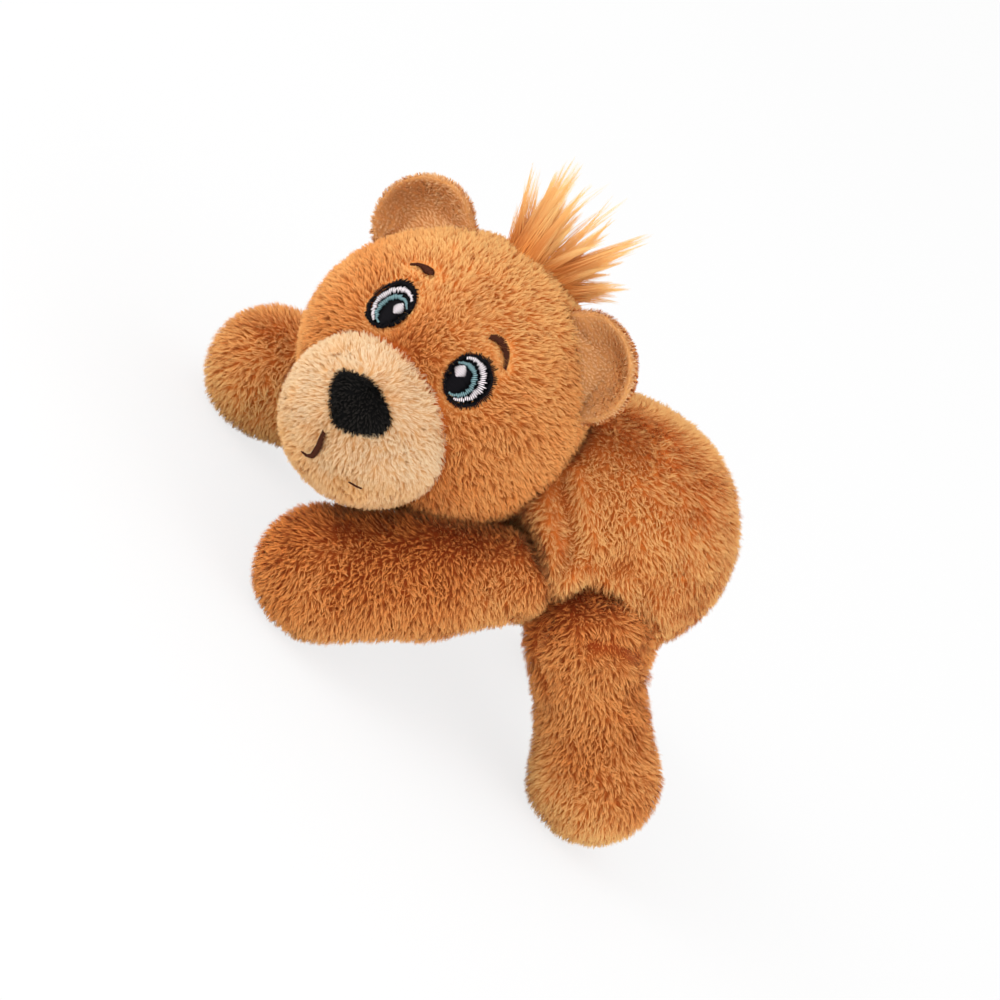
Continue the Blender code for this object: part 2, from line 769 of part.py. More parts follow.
def build_tuft(pivot):
    """Tuft of long hair: a lobed tongue that widens and thins towards its tips."""
    root = unit(TUFT_BASE)
    lean = radians(TUFT_LEAN)
    across = np.array((1.0, 0.0, 0.0))
    rise = unit(root * cos(lean) + np.array((0.0, 1.0, 0.0)) * sin(lean))
    depth = np.cross(across, rise)
    turn = turns(TUFT_SEGMENTS)
    lobes = 1.0 + 0.10 * np.cos(5.0 * turn)
    start = root * (HEAD_RADIUS + SEAM_GAP)

    def ring(share):
        wide = TUFT_HALF_WIDTH * (0.85 + 0.6 * share) * np.sqrt(1.0 - share**6)
        thin = TUFT_HALF_DEPTH * (1.0 - 0.65 * share) * np.sqrt(1.0 - share**6)
        spots = start + share * TUFT_LENGTH * rise
        sway = 0.5 * share * TUFT_LENGTH * share * np.abs(np.cos(turn))
        flat = np.outer(wide * lobes * np.cos(turn), across) + np.outer(thin * lobes * np.sin(turn), depth)
        return spots + flat - np.outer(0.3 * sway, rise)

    seat = HEAD_RADIUS + SEAM_GAP
    base = [start[None, :]]
    for share in (0.5, 1.0):
        base.append(unit(start + share * (ring(0.0) - start)) * seat)
    body = [ring(share) for share in (0.25, 0.5, 0.75, 0.92)]
    tip = (start + TUFT_LENGTH * rise)[None, :]
    add_piece("tuft", base + body + [tip], tuft_hair(), pivot)


def centre_on_origin():
    """Moves the whole bear sideways so that the middle of its bounding box lies on the Z axis."""
    bpy.context.view_layer.update()
    corners = []
    for piece in bpy.data.objects:
        if piece.type == "MESH":
            corners += [piece.matrix_world @ vertex.co for vertex in piece.data.vertices]
    corners = np.array(corners)
    middle = 0.5 * (corners.min(axis=0) + corners.max(axis=0))
    for pivot in bpy.data.objects:
        if pivot.type == "EMPTY":
            pivot.location.x -= middle[0]
            pivot.location.y -= middle[1]
    bpy.context.view_layer.update()
    for pivot in bpy.data.objects:
        if pivot.type == "EMPTY":
            place = ", ".join(f"{value:.6f}" for value in pivot.matrix_world.translation)
            axis = ", ".join(f"{value:.6f}" for value in pivot.matrix_world.col[2][:3])
            print(f"{pivot.name}: at {place} m, its Z axis along {axis}")


def main():
    for old in list(bpy.data.objects):
        bpy.data.objects.remove(old, do_unlink=True)
    shapes = limbs()
    body_root = empty_at("body_root", (0.0, 0.0, 0.0))
    build_body(shapes, body_root)
    for name, shape in shapes.items():
        build_limb(name, shape)
    frame = head_frame()
    head = empty_at("head_pivot", HEAD_CENTRE, head_turned())
    build_head_ball(frame, head)
    build_muzzle(head)
    build_nose(head)
    build_mouth(head)
    for label, side in (("left", 1.0), ("right", -1.0)):
        build_eye(label, side, head)
        build_brow(label, side, head)
    build_ear("left", EAR_LEFT, head)
    build_ear("right", EAR_RIGHT, head)
    build_tuft(head)
    centre_on_origin()


main()
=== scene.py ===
"""Dresses the small plush bear: pile, embroidery, ears, hair tuft, floor, light and camera.

Shapes are worked out in millimetres in the bear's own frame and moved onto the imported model.
"""

import json
from math import cos, pi, radians, sin

import bpy
import numpy as np
from mathutils import Euler, Matrix, Vector

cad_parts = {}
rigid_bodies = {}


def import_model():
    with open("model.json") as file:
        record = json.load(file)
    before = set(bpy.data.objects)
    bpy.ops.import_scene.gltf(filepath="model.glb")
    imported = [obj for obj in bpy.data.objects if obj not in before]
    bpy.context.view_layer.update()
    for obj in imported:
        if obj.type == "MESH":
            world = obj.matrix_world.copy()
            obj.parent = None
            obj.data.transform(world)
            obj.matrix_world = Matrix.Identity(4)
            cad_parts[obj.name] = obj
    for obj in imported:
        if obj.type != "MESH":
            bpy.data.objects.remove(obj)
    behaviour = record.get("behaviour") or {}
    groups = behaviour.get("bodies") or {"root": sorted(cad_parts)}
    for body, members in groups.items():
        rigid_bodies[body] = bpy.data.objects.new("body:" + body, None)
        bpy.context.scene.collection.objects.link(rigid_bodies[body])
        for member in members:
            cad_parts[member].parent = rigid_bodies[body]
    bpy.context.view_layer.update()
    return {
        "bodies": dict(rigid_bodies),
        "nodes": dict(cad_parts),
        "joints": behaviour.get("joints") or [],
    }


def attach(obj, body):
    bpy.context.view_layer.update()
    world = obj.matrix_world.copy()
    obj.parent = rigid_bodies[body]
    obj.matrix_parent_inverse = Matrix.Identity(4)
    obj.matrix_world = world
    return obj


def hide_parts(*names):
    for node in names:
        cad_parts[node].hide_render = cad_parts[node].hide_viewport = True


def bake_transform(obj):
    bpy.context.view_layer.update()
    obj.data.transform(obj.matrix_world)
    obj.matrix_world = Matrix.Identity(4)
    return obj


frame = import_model()

MM = 0.001

# Sewn forms, as in the solid model
RUMP_CENTRE, RUMP_RADIUS = np.array((0.0, 18.8, 42.3)), 24.0
CHEST_CENTRE, CHEST_RADIUS = np.array((0.0, 6.0, 41.0)), 18.5
BODY_MIDDLE = 0.5 * (CHEST_CENTRE + RUMP_CENTRE)
WAIST_BLEND, CREASE_BLEND, JOINT_GAP, NECK_GAP = 10.0, 2.5, 0.3, 0.2
HEAD_CENTRE, HEAD_RADIUS = np.array((0.5, -24.7, 47.2)), 26.3
HEAD_TURN, HEAD_NOD, HEAD_TILT = 55.1, -1.9, -7.7
PAW_FLAT = 0.5
SWEEP, HEAD_PRESS = (-10.0, 0.0, 12.0, 25.0, 38.0), (0.0, -7.0)
ARM_RADII, LEG_RADII = (9.6, 10.4, 12.0), (11.0, 9.6, 11.9)
LIMBS = {
    "arm_left": ((20.5, 5.4, 29.8), (26.1, -23.5), ARM_RADII, 1.0),
    "arm_right": ((-21.9, 3.5, 30.0), (-32.0, -38.9), ARM_RADII, -1.0),
    "leg_left": ((21.0, 25.6, 29.3), (25.7, 42.5), LEG_RADII, 1.0),
    "leg_right": ((-21.0, 25.6, 29.3), (-25.7, 42.5), LEG_RADII, -1.0),
}
MUZZLE_CENTRE, MUZZLE_SWELL = np.array((0.0, -19.5, -10.3)), 1.3
MUZZLE_RADII = np.array((15.2, 16.8, 14.6)) + MUZZLE_SWELL
NOSE_CENTRE, NOSE_BACK = np.array((1.6, -34.6, -4.6)), -28.0
# The nose's outline: angle from its left in degrees, and distance from its middle
NOSE_OUTLINE = (
    (-11, 7.6), (10, 7.5), (22, 6.4), (44, 5.0), (87, 4.5), (123, 5.1), (139, 5.8), (151, 6.9),
    (162, 7.7), (179, 6.6), (205, 5.1), (234, 4.8), (261, 5.7), (281, 5.4), (316, 5.6), (337, 6.7),
    (349, 7.6), (370, 7.5),
)
EYE_PLACE, EYE_HALF = {1.0: (11.2, 8.6), -1.0: (-9.4, 9.3)}, (4.5, 5.1)
# Each brow: points of its middle line and the half width at each
BROW_PLACE = (10.7, 16.6)
BROWS = {
    1.0: (
        ((-2.9, -0.2), (-1.7, 0.3), (-0.5, 0.2), (0.8, -0.7), (1.7, -1.9), (2.4, -3.7)),
        (0.495, 0.825, 0.935, 0.825, 0.605, 0.385),
    ),
    -1.0: (
        ((-1.8, -1.3), (-0.9, -0.2), (0.4, 0.5), (1.4, 0.7), (2.1, 0.8), (2.8, 0.7)),
        (0.22, 0.44, 0.715, 0.935, 0.88, 0.44),
    ),
}
MOUTH_PLACE = (1.2, -36.5, -14.5)
MOUTH_HOOK = ((-0.3, 3.2), (0.1, 1.5), (0.4, 0.0), (0.3, -1.5), (0.1, -2.7), (-0.9, -3.5), (-2.0, -3.6))
MOUTH_END = ((9.4, -3.3), (11.2, -3.8), (13.0, -4.1))
EARS = {"left": (20.0, 0.5, 18.6), "right": (-21.2, -0.5, 17.2)}
EAR_HALF, EAR_CUP, EAR_CORE_LIFT, EAR_FRONT, EAR_BACK = (10.2, 9.1), 3.0, 3.5, 2.2, 1.8
# Tone of each ear's front panel: the right one is painted darker, as shade
EAR_SHADE_TONE = {"left": 0.7, "right": 0.25}
TUFT_ROOTS = (
    (-5.4, 1.4, 25.4), (-1.7, -1.1, 25.9), (0.5, 1.4, 26.0), (2.8, 3.3, 25.6), (5.9, 5.0, 24.8),
    (7.8, 8.2, 23.4),
)
# Each lock: its place along the roots, how far it reaches across and up, and its share of the hair
TUFT_LOCKS = (
    (0.0, 5.7, 16.5, 0.4), (0.0, 0.9, 8.1, 0.2), (0.05, 7.5, 14.8, 1.0), (0.15, 11.0, 18.1, 1.2),
    (0.2, 11.9, 17.4, 0.4), (0.25, 9.9, 13.5, 1.2), (0.35, 7.8, 9.8, 1.2), (0.45, 12.9, 13.9, 0.4),
    (0.5, 14.1, 8.8, 0.9), (0.6, 16.9, 8.3, 0.9), (0.7, 17.6, 7.8, 0.9), (0.7, 11.5, 4.1, 1.2),
    (0.8, 12.2, 0.7, 1.0), (0.85, 10.2, -0.4, 0.8), (0.9, 7.0, -0.4, 0.5),
)
LOCK_STRANDS, STRAND_HAIRS = 7, 46
TUFT_ACROSS, TUFT_RISE = np.array((0.7, 0.42, 0.58)), np.array((-0.66, 0.05, 0.75))
TUFT_NEAR = np.array((0.28, -0.91, 0.31))

# Pile: its length, how deep its roots lie under the cloth's outline, and blades on a square millimetre
PILE, PILE_SINK, DENSITY, FINE_DENSITY = 2.0, 1.0, 22.0, 26.0
FLOOR_CLEAR = 0.04
# Trim, thinning and painted shade of the pile in the folds, the fold depth at which they are full, and the
# mottle's strength
FOLD_TRIM, FOLD_THIN, FOLD_SHADE, FOLD_FULL, MOTTLE = 1.3, 0.6, 0.4, 0.8, 0.3
# The pile's downward flow, and the direction up towards the head: the arms are painted darker on the side
# that faces it, a painted shadow under the head
DOWN, HEAD_SHADOW_UP = np.array((0.0, 0.55, -1.0)), np.array((-0.49, -0.58, 0.65))

# How the cloth fills out over the solids
LIMB_SWELL = {"arm": (-0.9, 1.2, 0.5), "leg": (-0.1, 0.3, 0.5)}
ROOT_DRAG = {"arm": (0.4, -1.3, 1.6), "leg": (1.0, -2.6, 1.2)}
LIMB_DRAG = {"arm": (-0.4, -0.5, 0.6), "leg": (0.0, 0.1, 0.0)}
SHOULDER_OFFSET, SHOULDER_RADIUS, SHOULDER_BLEND = (0.3, 1.6, 3.6), 9.9, 6.0
CUFF_POINT, CUFF_NORMAL, CUFF_DEPTH = (5.5, -1.8, 11.0), (0.387, -0.545, -0.745), 2.5
CUFF_BLEND, COLLAR_BLEND, NECK_BLEND, CHIN_BLEND, CHEEK_BLEND, KNEE_BLEND = 1.2, 2.5, 3.0, 1.5, 5.0, 2.0
KNEE_SHARE, SEAM_SHARPEN, SEAM_REACH = 0.45, 1.9, 5.0
HEAD_CLEAR, MUZZLE_CLEAR, FACE_SEAM, FACE_SEAM_WIDTH = 0.2, 0.6, 0.5, 1.5
SKIN_BLEND = {"arm": (-3.0, 11.0), "leg": (0.0, 11.0)}
CHEEKS = (((-8.7, -3.2, -1.6), 18.4), ((6.4, -0.6, -2.7), 21.0))
HIP_SEAM = ((23.4, 22.2, 40.7), (22.9, 24.9, 41.0), (21.6, 28.3, 40.2), (19.1, 32.3, 38.3))

# Folds sewn or pressed into the cloth: depth, half width and points. A negative depth is a swelling.
FOLDS = (
    (
        1.3, 1.1, (19.4, -1.5, 41.6), (23.6, 0.6, 40.4), (26.5, 2.3, 39.5), (28.4, 4.4, 38.6),
        (29.4, 6.2, 37.6), (29.7, 8.2, 36.8),
    ),
    (
        2.3, 1.4, (16.8, -0.3, 50.4), (19.6, 2.9, 48.1), (21.9, 6.3, 46.2), (23.0, 7.7, 45.2),
        (25.1, 8.4, 42.7), (28.0, 9.6, 39.3),
    ),
    (0.8, 1.5, (26.7, 13.8, 37.5), (24.6, 15, 41.1), (23.5, 16.3, 45.1), (22.9, 17.3, 48.4)),
    (
        2.6, 1.5, (30.1, 9.0, 34.5), (29.6, 9.7, 36.1), (28.7, 10.9, 37.3), (27.2, 12.5, 38.4),
        (25.9, 14.0, 39.2), (25.1, 14.8, 40.0), (24.4, 16.5, 40.3), (23.9, 18.1, 40.6),
        (23.6, 20.2, 41.1),
    ),
    (
        5.0, 1.3, (31.2, 20.7, 35.3), (30.9, 23.2, 36.2), (29.8, 26.0, 37.0), (27.7, 29.2, 37.0),
        (24.8, 31.8, 36.1), (21.5, 33.8, 34.6),
    ),
    (
        1.5, 1.3, (14.8, 27.0, 14.0), (17.0, 25.4, 13.9), (20.0, 24.0, 14.0), (23.0, 23.4, 14.4),
        (26.0, 23.6, 15.6), (28.0, 24.2, 17.0),
    ),
    (
        1.2, 1.3, (25.7, 16.1, 32.8), (25.6, 15.5, 30.5), (26.0, 15.6, 28.4), (26.9, 16.7, 26.1),
        (27.9, 18.7, 23.8), (29.5, 20.9, 22.7),
    ),
    (-0.6, 2.6, (19.3, 0.4, 45.2), (22.7, 3.7, 43.7), (25.9, 7.5, 41.9), (28.2, 8.3, 39.4)),
    (-1.5, 3.0, *HIP_SEAM),
    (
        0.9, 1.0, (0.4, 8.2, 65.9), (2, 10.6, 66.5), (2.4, 14.1, 67), (0.3, 18.2, 67.5), (0, 30, 64),
        (0, 38, 56),
    ),
)
LIP_SHARE, LIP_PLACE, LIP_WIDTH = 0.22, 2.4, 1.3
HEAD_FOLDS = (
    (
        0.8, 0.9, (-4, -1.5, 26.6), (1.1, 0.2, 27.0), (6.6, -0.4, 26.7), (13.1, -2.5, 24),
        (18.9, -4.1, 19.5), (23.2, -5, 13.8), (25.6, -4, 9.1),
    ),
    (0.4, 0.7, (-1.7, -12.2, 22.9), (-0.9, -8.7, 24.5), (-0.7, -3.6, 25.8)),
    (0.5, 0.7, (1.6, -11, 23.5), (1.6, -8, 24.7), (1.5, -3.7, 25.6)),
    (0.4, 0.7, (5.9, -10, 23.3), (4.5, -7.0, 24.7), (3.7, -3, 25.7)),
)
MUZZLE_FOLDS = (
    (
        0.9, 1.4, (-6, -33.5, -17.2), (-1, -34.8, -18.2), (4.5, -34.3, -17.8), (9, -32.5, -17),
        (13, -29.1, -15.5),
    ),
)


# Small vector and noise helpers

LATTICE_START = 500.0


def unit(vector):
    vector = np.asarray(vector, float)
    return vector / np.maximum(np.linalg.norm(vector, axis=-1, keepdims=True), 1e-9)


def over(value, start, width, least=0.0):
    """Rises from least to 1 while the value goes from start to a width further, which may be negative."""
    return np.clip((value - start) / width, least, 1.0)


def at_share(line, share):
    """Points at shares from 0 to 1 along a listed line, whose own points count as evenly spread."""
    line = np.asarray(line, float)
    steps = np.linspace(0.0, 1.0, len(line))
    return np.stack([np.interp(share, steps, column) for column in line.T], axis=-1)


def dot(a, b):
    return (a * b).sum(axis=-1, keepdims=True)


def flatten(vector, normals):
    """The part of a vector that lies in the surface: v - n (v . n)."""
    return vector - normals * dot(vector, normals)


def full_turn(count, shift=0.0):
    """Evenly spread angles of a circle. The first is a share of a step past 0."""
    return (np.arange(count) + shift) * 2.0 * pi / count


def ease(share):
    return share * share * (3.0 - 2.0 * share)


def facing(out):
    """Directions right and up on a surface that faces out, in the head."""
    right = unit(np.cross((0.0, 0.0, 1.0), out))
    return right, np.cross(out, right)


def hashed(cells, channel):
    """Even numbers from 0 to 1 for whole-number cells, mixed by multiplying and folding the bits."""
    cells = cells.astype(np.int64).astype(np.uint64)
    mixed = cells[..., 0] * np.uint64(73856093) ^ cells[..., 1] * np.uint64(19349663)
    mixed ^= cells[..., 2] * np.uint64(83492791) ^ np.uint64((channel + 1) * 2654435761 % 2**32)
    for _ in range(2):
        mixed = (mixed ^ (mixed >> np.uint64(15))) * np.uint64(2246822519) & np.uint64(0xFFFFFFFF)
    return (mixed ^ (mixed >> np.uint64(13))).astype(float) % 1048576 / 1048576


def noise(points, size, channel=0):
    """Smooth value noise from 0 to 1: hashed corners of a cube lattice, eased between."""
    scaled = points / size + LATTICE_START
    cell = np.floor(scaled)
    across = ease(scaled - cell)
    total = 0.0
    for corner in np.ndindex(2, 2, 2):
        share = np.prod(np.where(corner, across, 1.0 - across), axis=-1)
        total = total + share * hashed(cell + corner, channel)
    return total


def mottle(points, size, channel):
    """Slow changes of tone over the cloth, lighter and darker by turns."""
    return MOTTLE * (noise(points, size, channel) - 0.5)


def clumps(points, size, channel):
    """Nearest of the points jittered one to a cube lattice cell, and three numbers for that cell."""
    scaled = points / size + LATTICE_START
    cell = np.floor(scaled)
    best = np.full(len(points), 1e9)
    spot = np.zeros_like(points)
    home = np.zeros_like(points)
    for step in np.ndindex(3, 3, 3):
        near = cell + np.array(step) - 1.0
        place = near + np.stack([hashed(near, channel + k) for k in range(3)], axis=-1)
        gap = ((place - scaled) ** 2).sum(axis=-1)
        closer = gap < best
        best = np.where(closer, gap, best)
        spot[closer] = place[closer]
        home[closer] = near[closer]
    numbers = np.stack([hashed(home, channel + 3 + k) for k in range(3)], axis=-1)
    return (spot - LATTICE_START) * size, numbers


def to_piece(points, a, b):
    """Distance to a straight piece, and how far along it the nearest place is, from 0 to 1."""
    span = b - a
    share = np.clip((points - a) @ span / (span @ span), 0.0, 1.0)
    return np.linalg.norm(points - a - share[..., None] * span, axis=-1), share


def line_distance(points, line):
    line = np.asarray(line, float)
    return np.minimum.reduce([to_piece(points, a, b)[0] for a, b in zip(line[:-1], line[1:])])


# Distance fields, negative inside


def ball(points, centre, radius):
    return np.linalg.norm(points - np.asarray(centre), axis=-1) - radius


def egg(points, centre, radii):
    scaled = (points - centre) / radii
    return (np.linalg.norm(scaled, axis=-1) - 1.0) * min(radii)


def round_cone(points, a, b, radius_a, radius_b):
    gap, share = to_piece(points, a, b)
    return gap - radius_a - (radius_b - radius_a) * share


def soft_union(first, second, blend):
    mix = np.clip(0.5 + 0.5 * (second - first) / blend, 0.0, 1.0)
    return second + (first - second) * mix - blend * mix * (1.0 - mix)


def soft_cut(field, cutter, blend):
    return -soft_union(-field, -cutter, blend)


def swing(points, root, degrees):
    """Points turned about the Y axis through the root."""
    turn = np.radians(degrees)
    moved = points - root
    x = moved[..., 0] * np.cos(turn) + moved[..., 2] * np.sin(turn)
    z = moved[..., 2] * np.cos(turn) - moved[..., 0] * np.sin(turn)
    return np.stack([x, moved[..., 1], z], axis=-1) + root


def mirrored(vector, side):
    return np.array(vector) * (side, 1.0, 1.0)


def limb_shape(name):
    root, paw, radii, side = LIMBS[name]
    return np.array(root), np.array((*paw, radii[2] - PAW_FLAT)), radii, side


def before_cuff(points, name):
    """Distance to the flat end of an arm, negative on the paw's side."""
    root, _, _, side = limb_shape(name)
    return (root + mirrored(CUFF_POINT, side) - points) @ mirrored(CUFF_NORMAL, side)


def limb_form(points, name):
    """Two round cones that meet at the elbow or knee. An arm ends in a flat cuff against the shoulder."""
    root, paw, radii, side = limb_shape(name)
    kind = name[:3]
    radii = np.array(radii) + LIMB_SWELL[kind]
    middle = root + KNEE_SHARE * (paw - root) + mirrored(LIMB_DRAG[kind], side)
    upper = round_cone(points, root + mirrored(ROOT_DRAG[kind], side), middle, radii[0], radii[1])
    form = soft_union(upper, round_cone(points, middle, paw, radii[1], radii[2]), KNEE_BLEND)
    if kind == "arm":
        form = soft_cut(form, before_cuff(points, name), CUFF_BLEND)
    return form


def skin_ends(name):
    """Where the limb's cloth stops following the torso, and where it starts to follow the limb."""
    root, paw, _, _ = limb_shape(name)
    return [root + reach * unit(paw - root) for reach in SKIN_BLEND[name[:3]]]


def follow(points, name):
    """0 where the cloth stays with the torso, 1 where it turns with the limb."""
    return ease(to_piece(points, *skin_ends(name))[1])


def limb_swept(points, name):
    root, _, _, side = limb_shape(name)
    share = follow(points, name)
    return np.minimum.reduce([limb_form(swing(points, root, side * d * share), name) for d in SWEEP])


# Axes of the head: columns are its left, its back and its up
HEAD = np.array(Euler((radians(HEAD_NOD), radians(HEAD_TILT), radians(HEAD_TURN)), "YXZ").to_matrix())


def in_head(points):
    return (points - HEAD_CENTRE) @ HEAD


def from_head(points):
    return points @ HEAD.T + HEAD_CENTRE


def head_form(local):
    """Ball with fuller cheeks, in the head."""
    form = ball(local, (0, 0, 0), HEAD_RADIUS)
    for centre, radius in CHEEKS:
        form = soft_union(form, ball(local, centre, radius), CHEEK_BLEND)
    return form


def head_swept(points, name):
    """The head and muzzle as the limb meets them at rest and pressed a little inwards."""
    root, _, _, side = limb_shape(name)
    share = follow(points, name)
    found = []
    for degrees in HEAD_PRESS:
        turned = swing(points, root, -side * degrees * share)
        found.append(head_form(in_head(turned)) + HEAD_CLEAR)
        found.append(muzzle_field(turned) + MUZZLE_CLEAR)
    return np.minimum.reduce(found)


def creased(points, folds):
    """How far the folds pull the cloth in, with the cloth swelling a little beside each."""
    depth = np.zeros(points.shape[:-1])
    for deep, wide, *line in folds:
        gap = line_distance(points, line)
        lip = (gap - LIP_PLACE * wide) / (LIP_WIDTH * wide)
        depth += deep * np.exp(-((gap / wide) ** 2)) - LIP_SHARE * deep * np.exp(-(lip**2))
    return depth


def body_form(points):
    rump, chest = ball(points, RUMP_CENTRE, RUMP_RADIUS), ball(points, CHEST_CENTRE, CHEST_RADIUS)
    form = soft_union(rump, chest, WAIST_BLEND)
    for name in ("arm_left", "arm_right"):
        root, _, _, side = limb_shape(name)
        shoulder = ball(points, root + mirrored(SHOULDER_OFFSET, side), SHOULDER_RADIUS)
        form = soft_union(form, shoulder, SHOULDER_BLEND)
    return form


def body_field(points):
    field = body_form(points)
    field = soft_cut(field, HEAD_RADIUS + NECK_GAP - ball(points, HEAD_CENTRE, 0.0), NECK_BLEND)
    blend = CREASE_BLEND - SEAM_SHARPEN * np.exp(-((line_distance(points, HIP_SEAM) / SEAM_REACH) ** 2))
    for name in LIMBS:
        field = soft_cut(field, JOINT_GAP - limb_swept(points, name), blend)
        if name[:3] == "arm":
            collar = np.maximum(limb_form(points, name) - CUFF_DEPTH, before_cuff(points, name))
            field = soft_cut(field, JOINT_GAP - collar, COLLAR_BLEND)
    return field + creased(points, FOLDS)


def limb_field(points, name):
    field = limb_form(points, name)
    field = soft_cut(field, -head_swept(points, name), CHIN_BLEND)
    return np.maximum(field + creased(points, FOLDS), -points[..., 2])


def head_field(points):
    """The head with a shallow seam round the back of the face and a crease round the muzzle."""
    local = in_head(points)
    seam = np.exp(-((np.abs(muzzle_egg(local)) / FACE_SEAM_WIDTH) ** 2))
    return head_form(local) + creased(local, HEAD_FOLDS) + FACE_SEAM * seam


def muzzle_egg(local):
    return egg(local, MUZZLE_CENTRE, MUZZLE_RADII)


def muzzle_field(points):
    local = in_head(points)
    return muzzle_egg(local) + creased(local, MUZZLE_FOLDS)


# Grids: rays from stations along a spine meet the field

BODY_COLUMNS, BODY_CROWD, LIMB_COLUMNS, HEAD_COLUMNS, MUZZLE_COLUMNS = 180, 0.4, 84, 150, 96
BODY_ROWS, LIMB_ROWS, HEAD_ROWS, MUZZLE_ROWS = (46, 6, 56), (18, 30, 30), 90, 52
# Degrees from a pole to the ring that is next to it
POLE = 0.5
CAST_STEPS, CAST_SHARE, CAST_START, CAST_LIMITS = 70, 0.85, 4.0, (0.2, 70.0)
LEFT = (1.0, 0.0, 0.0)


def slerp(a, b, share):
    a, b = unit(a), unit(b)
    angle = np.arccos(np.clip(a @ b, -1.0, 1.0))
    if angle < 1e-6:
        return a
    return (sin((1.0 - share) * angle) * a + sin(share * angle) * b) / sin(angle)


def ring(axis, polar, columns, hint, crowd=0.0):
    """Unit vectors at a polar angle from the backward pole of the axis. They can crowd towards the hint."""
    across = unit(np.asarray(hint) - (np.asarray(hint) @ axis) * axis)
    along = np.cross(axis, across)
    turn = full_turn(columns)
    turn = turn - crowd * np.sin(turn)
    flat = np.outer(np.cos(turn), across) + np.outer(np.sin(turn), along)
    return -cos(radians(polar)) * axis + sin(radians(polar)) * flat


def star_grid(field, stations):
    """Steps along each station's rays by the distance still to go, until they end at the pile's roots."""
    centres = np.stack([np.broadcast_to(c, d.shape) for c, d in stations])
    directions = np.stack([d for _, d in stations])
    reach = np.full(directions.shape[:-1], CAST_START)
    for _ in range(CAST_STEPS):
        reach = reach - CAST_SHARE * (field(centres + reach[..., None] * directions) + PILE_SINK)
        reach = np.clip(reach, *CAST_LIMITS)
    return centres + reach[..., None] * directions


def grid_normals(points):
    """Cross product of the grid's two tangents, averaged at the poles, pointing out."""
    around = np.roll(points, -1, axis=1) - np.roll(points, 1, axis=1)
    along = np.gradient(points, axis=0)
    normals = np.cross(along, around)
    normals[0] = normals[1].mean(axis=0)
    normals[-1] = normals[-2].mean(axis=0)
    normals = unit(normals)
    if (normals * (points - points.mean(axis=(0, 1)))).sum() < 0.0:
        normals = -normals
    return normals


def body_grid():
    """Stations from the neck over the middle to the tail. The columns crowd on the left side's folds."""
    rear, front = RUMP_CENTRE, BODY_MIDDLE
    neck = unit(front - HEAD_CENTRE)
    tail = np.array((0.0, 1.0, 0.0))

    def around(axis, polar):
        return ring(axis, polar, BODY_COLUMNS, LEFT, BODY_CROWD)

    stations = [(front, around(neck, polar)) for polar in np.linspace(POLE, 88.0, BODY_ROWS[0])]
    for share in np.linspace(0.06, 0.94, BODY_ROWS[1]):
        stations.append((front + share * (rear - front), around(slerp(neck, tail, share), 90.0)))
    polars = np.linspace(91.0, 180.0 - POLE, BODY_ROWS[2])
    stations += [(rear, around(tail, polar)) for polar in polars]
    return star_grid(body_field, stations)


def limb_grid(name):
    """Stations from the root's inner end to the paw, then rays that close in on the sole."""
    root, paw, _, _ = limb_shape(name)
    outward, line = unit(root - BODY_MIDDLE), unit(paw - root)
    polars = np.linspace(POLE, 86.0, LIMB_ROWS[0])
    stations = [(root, ring(outward, polar, LIMB_COLUMNS, LEFT)) for polar in polars]
    for share in np.linspace(0.0, 0.94, LIMB_ROWS[1]):
        axis = slerp(outward, line, min(2.0 * share, 1.0))
        stations.append((root + share * (paw - root), ring(axis, 90.0, LIMB_COLUMNS, LEFT)))
    down = np.array((0.0, 0.0, -1.0))
    start = ring(line, 90.0, LIMB_COLUMNS, LEFT)
    beside = unit(start - np.outer(start @ down, down))
    for share in np.linspace(0.0, 1.0, LIMB_ROWS[2]):
        angle = 0.01 + (1.0 - share) * (np.arccos(start @ down) - 0.01)
        stations.append((paw, np.cos(angle)[:, None] * down + np.sin(angle)[:, None] * beside))
    return star_grid(lambda p: limb_field(p, name), stations)


def head_grid():
    neck = unit(BODY_MIDDLE - HEAD_CENTRE)
    polars = np.linspace(POLE, 180.0 - POLE, HEAD_ROWS)
    stations = [(HEAD_CENTRE, ring(-neck, polar, HEAD_COLUMNS, (0.0, 0.0, 1.0))) for polar in polars]
    return star_grid(head_field, stations)


def muzzle_grid():
    centre = from_head(MUZZLE_CENTRE)
    front = HEAD @ unit((0.0, -1.0, -0.1))
    polars = np.linspace(40.0, 180.0 - POLE, MUZZLE_ROWS)
    stations = [(centre, ring(front, polar, MUZZLE_COLUMNS, HEAD[:, 0])) for polar in polars]
    return star_grid(muzzle_field, stations)


# Meshes

HEAD_JOINT = next(joint for joint in frame["joints"] if joint["name"] == "head_turn")
# From the bear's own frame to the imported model's, in millimetres
SHIFT = np.array(HEAD_JOINT["pos_m"]) / MM - HEAD_CENTRE


def placed(name, data):
    """A new object in the scene."""
    made = bpy.data.objects.new(name, data)
    bpy.context.scene.collection.objects.link(made)
    return made


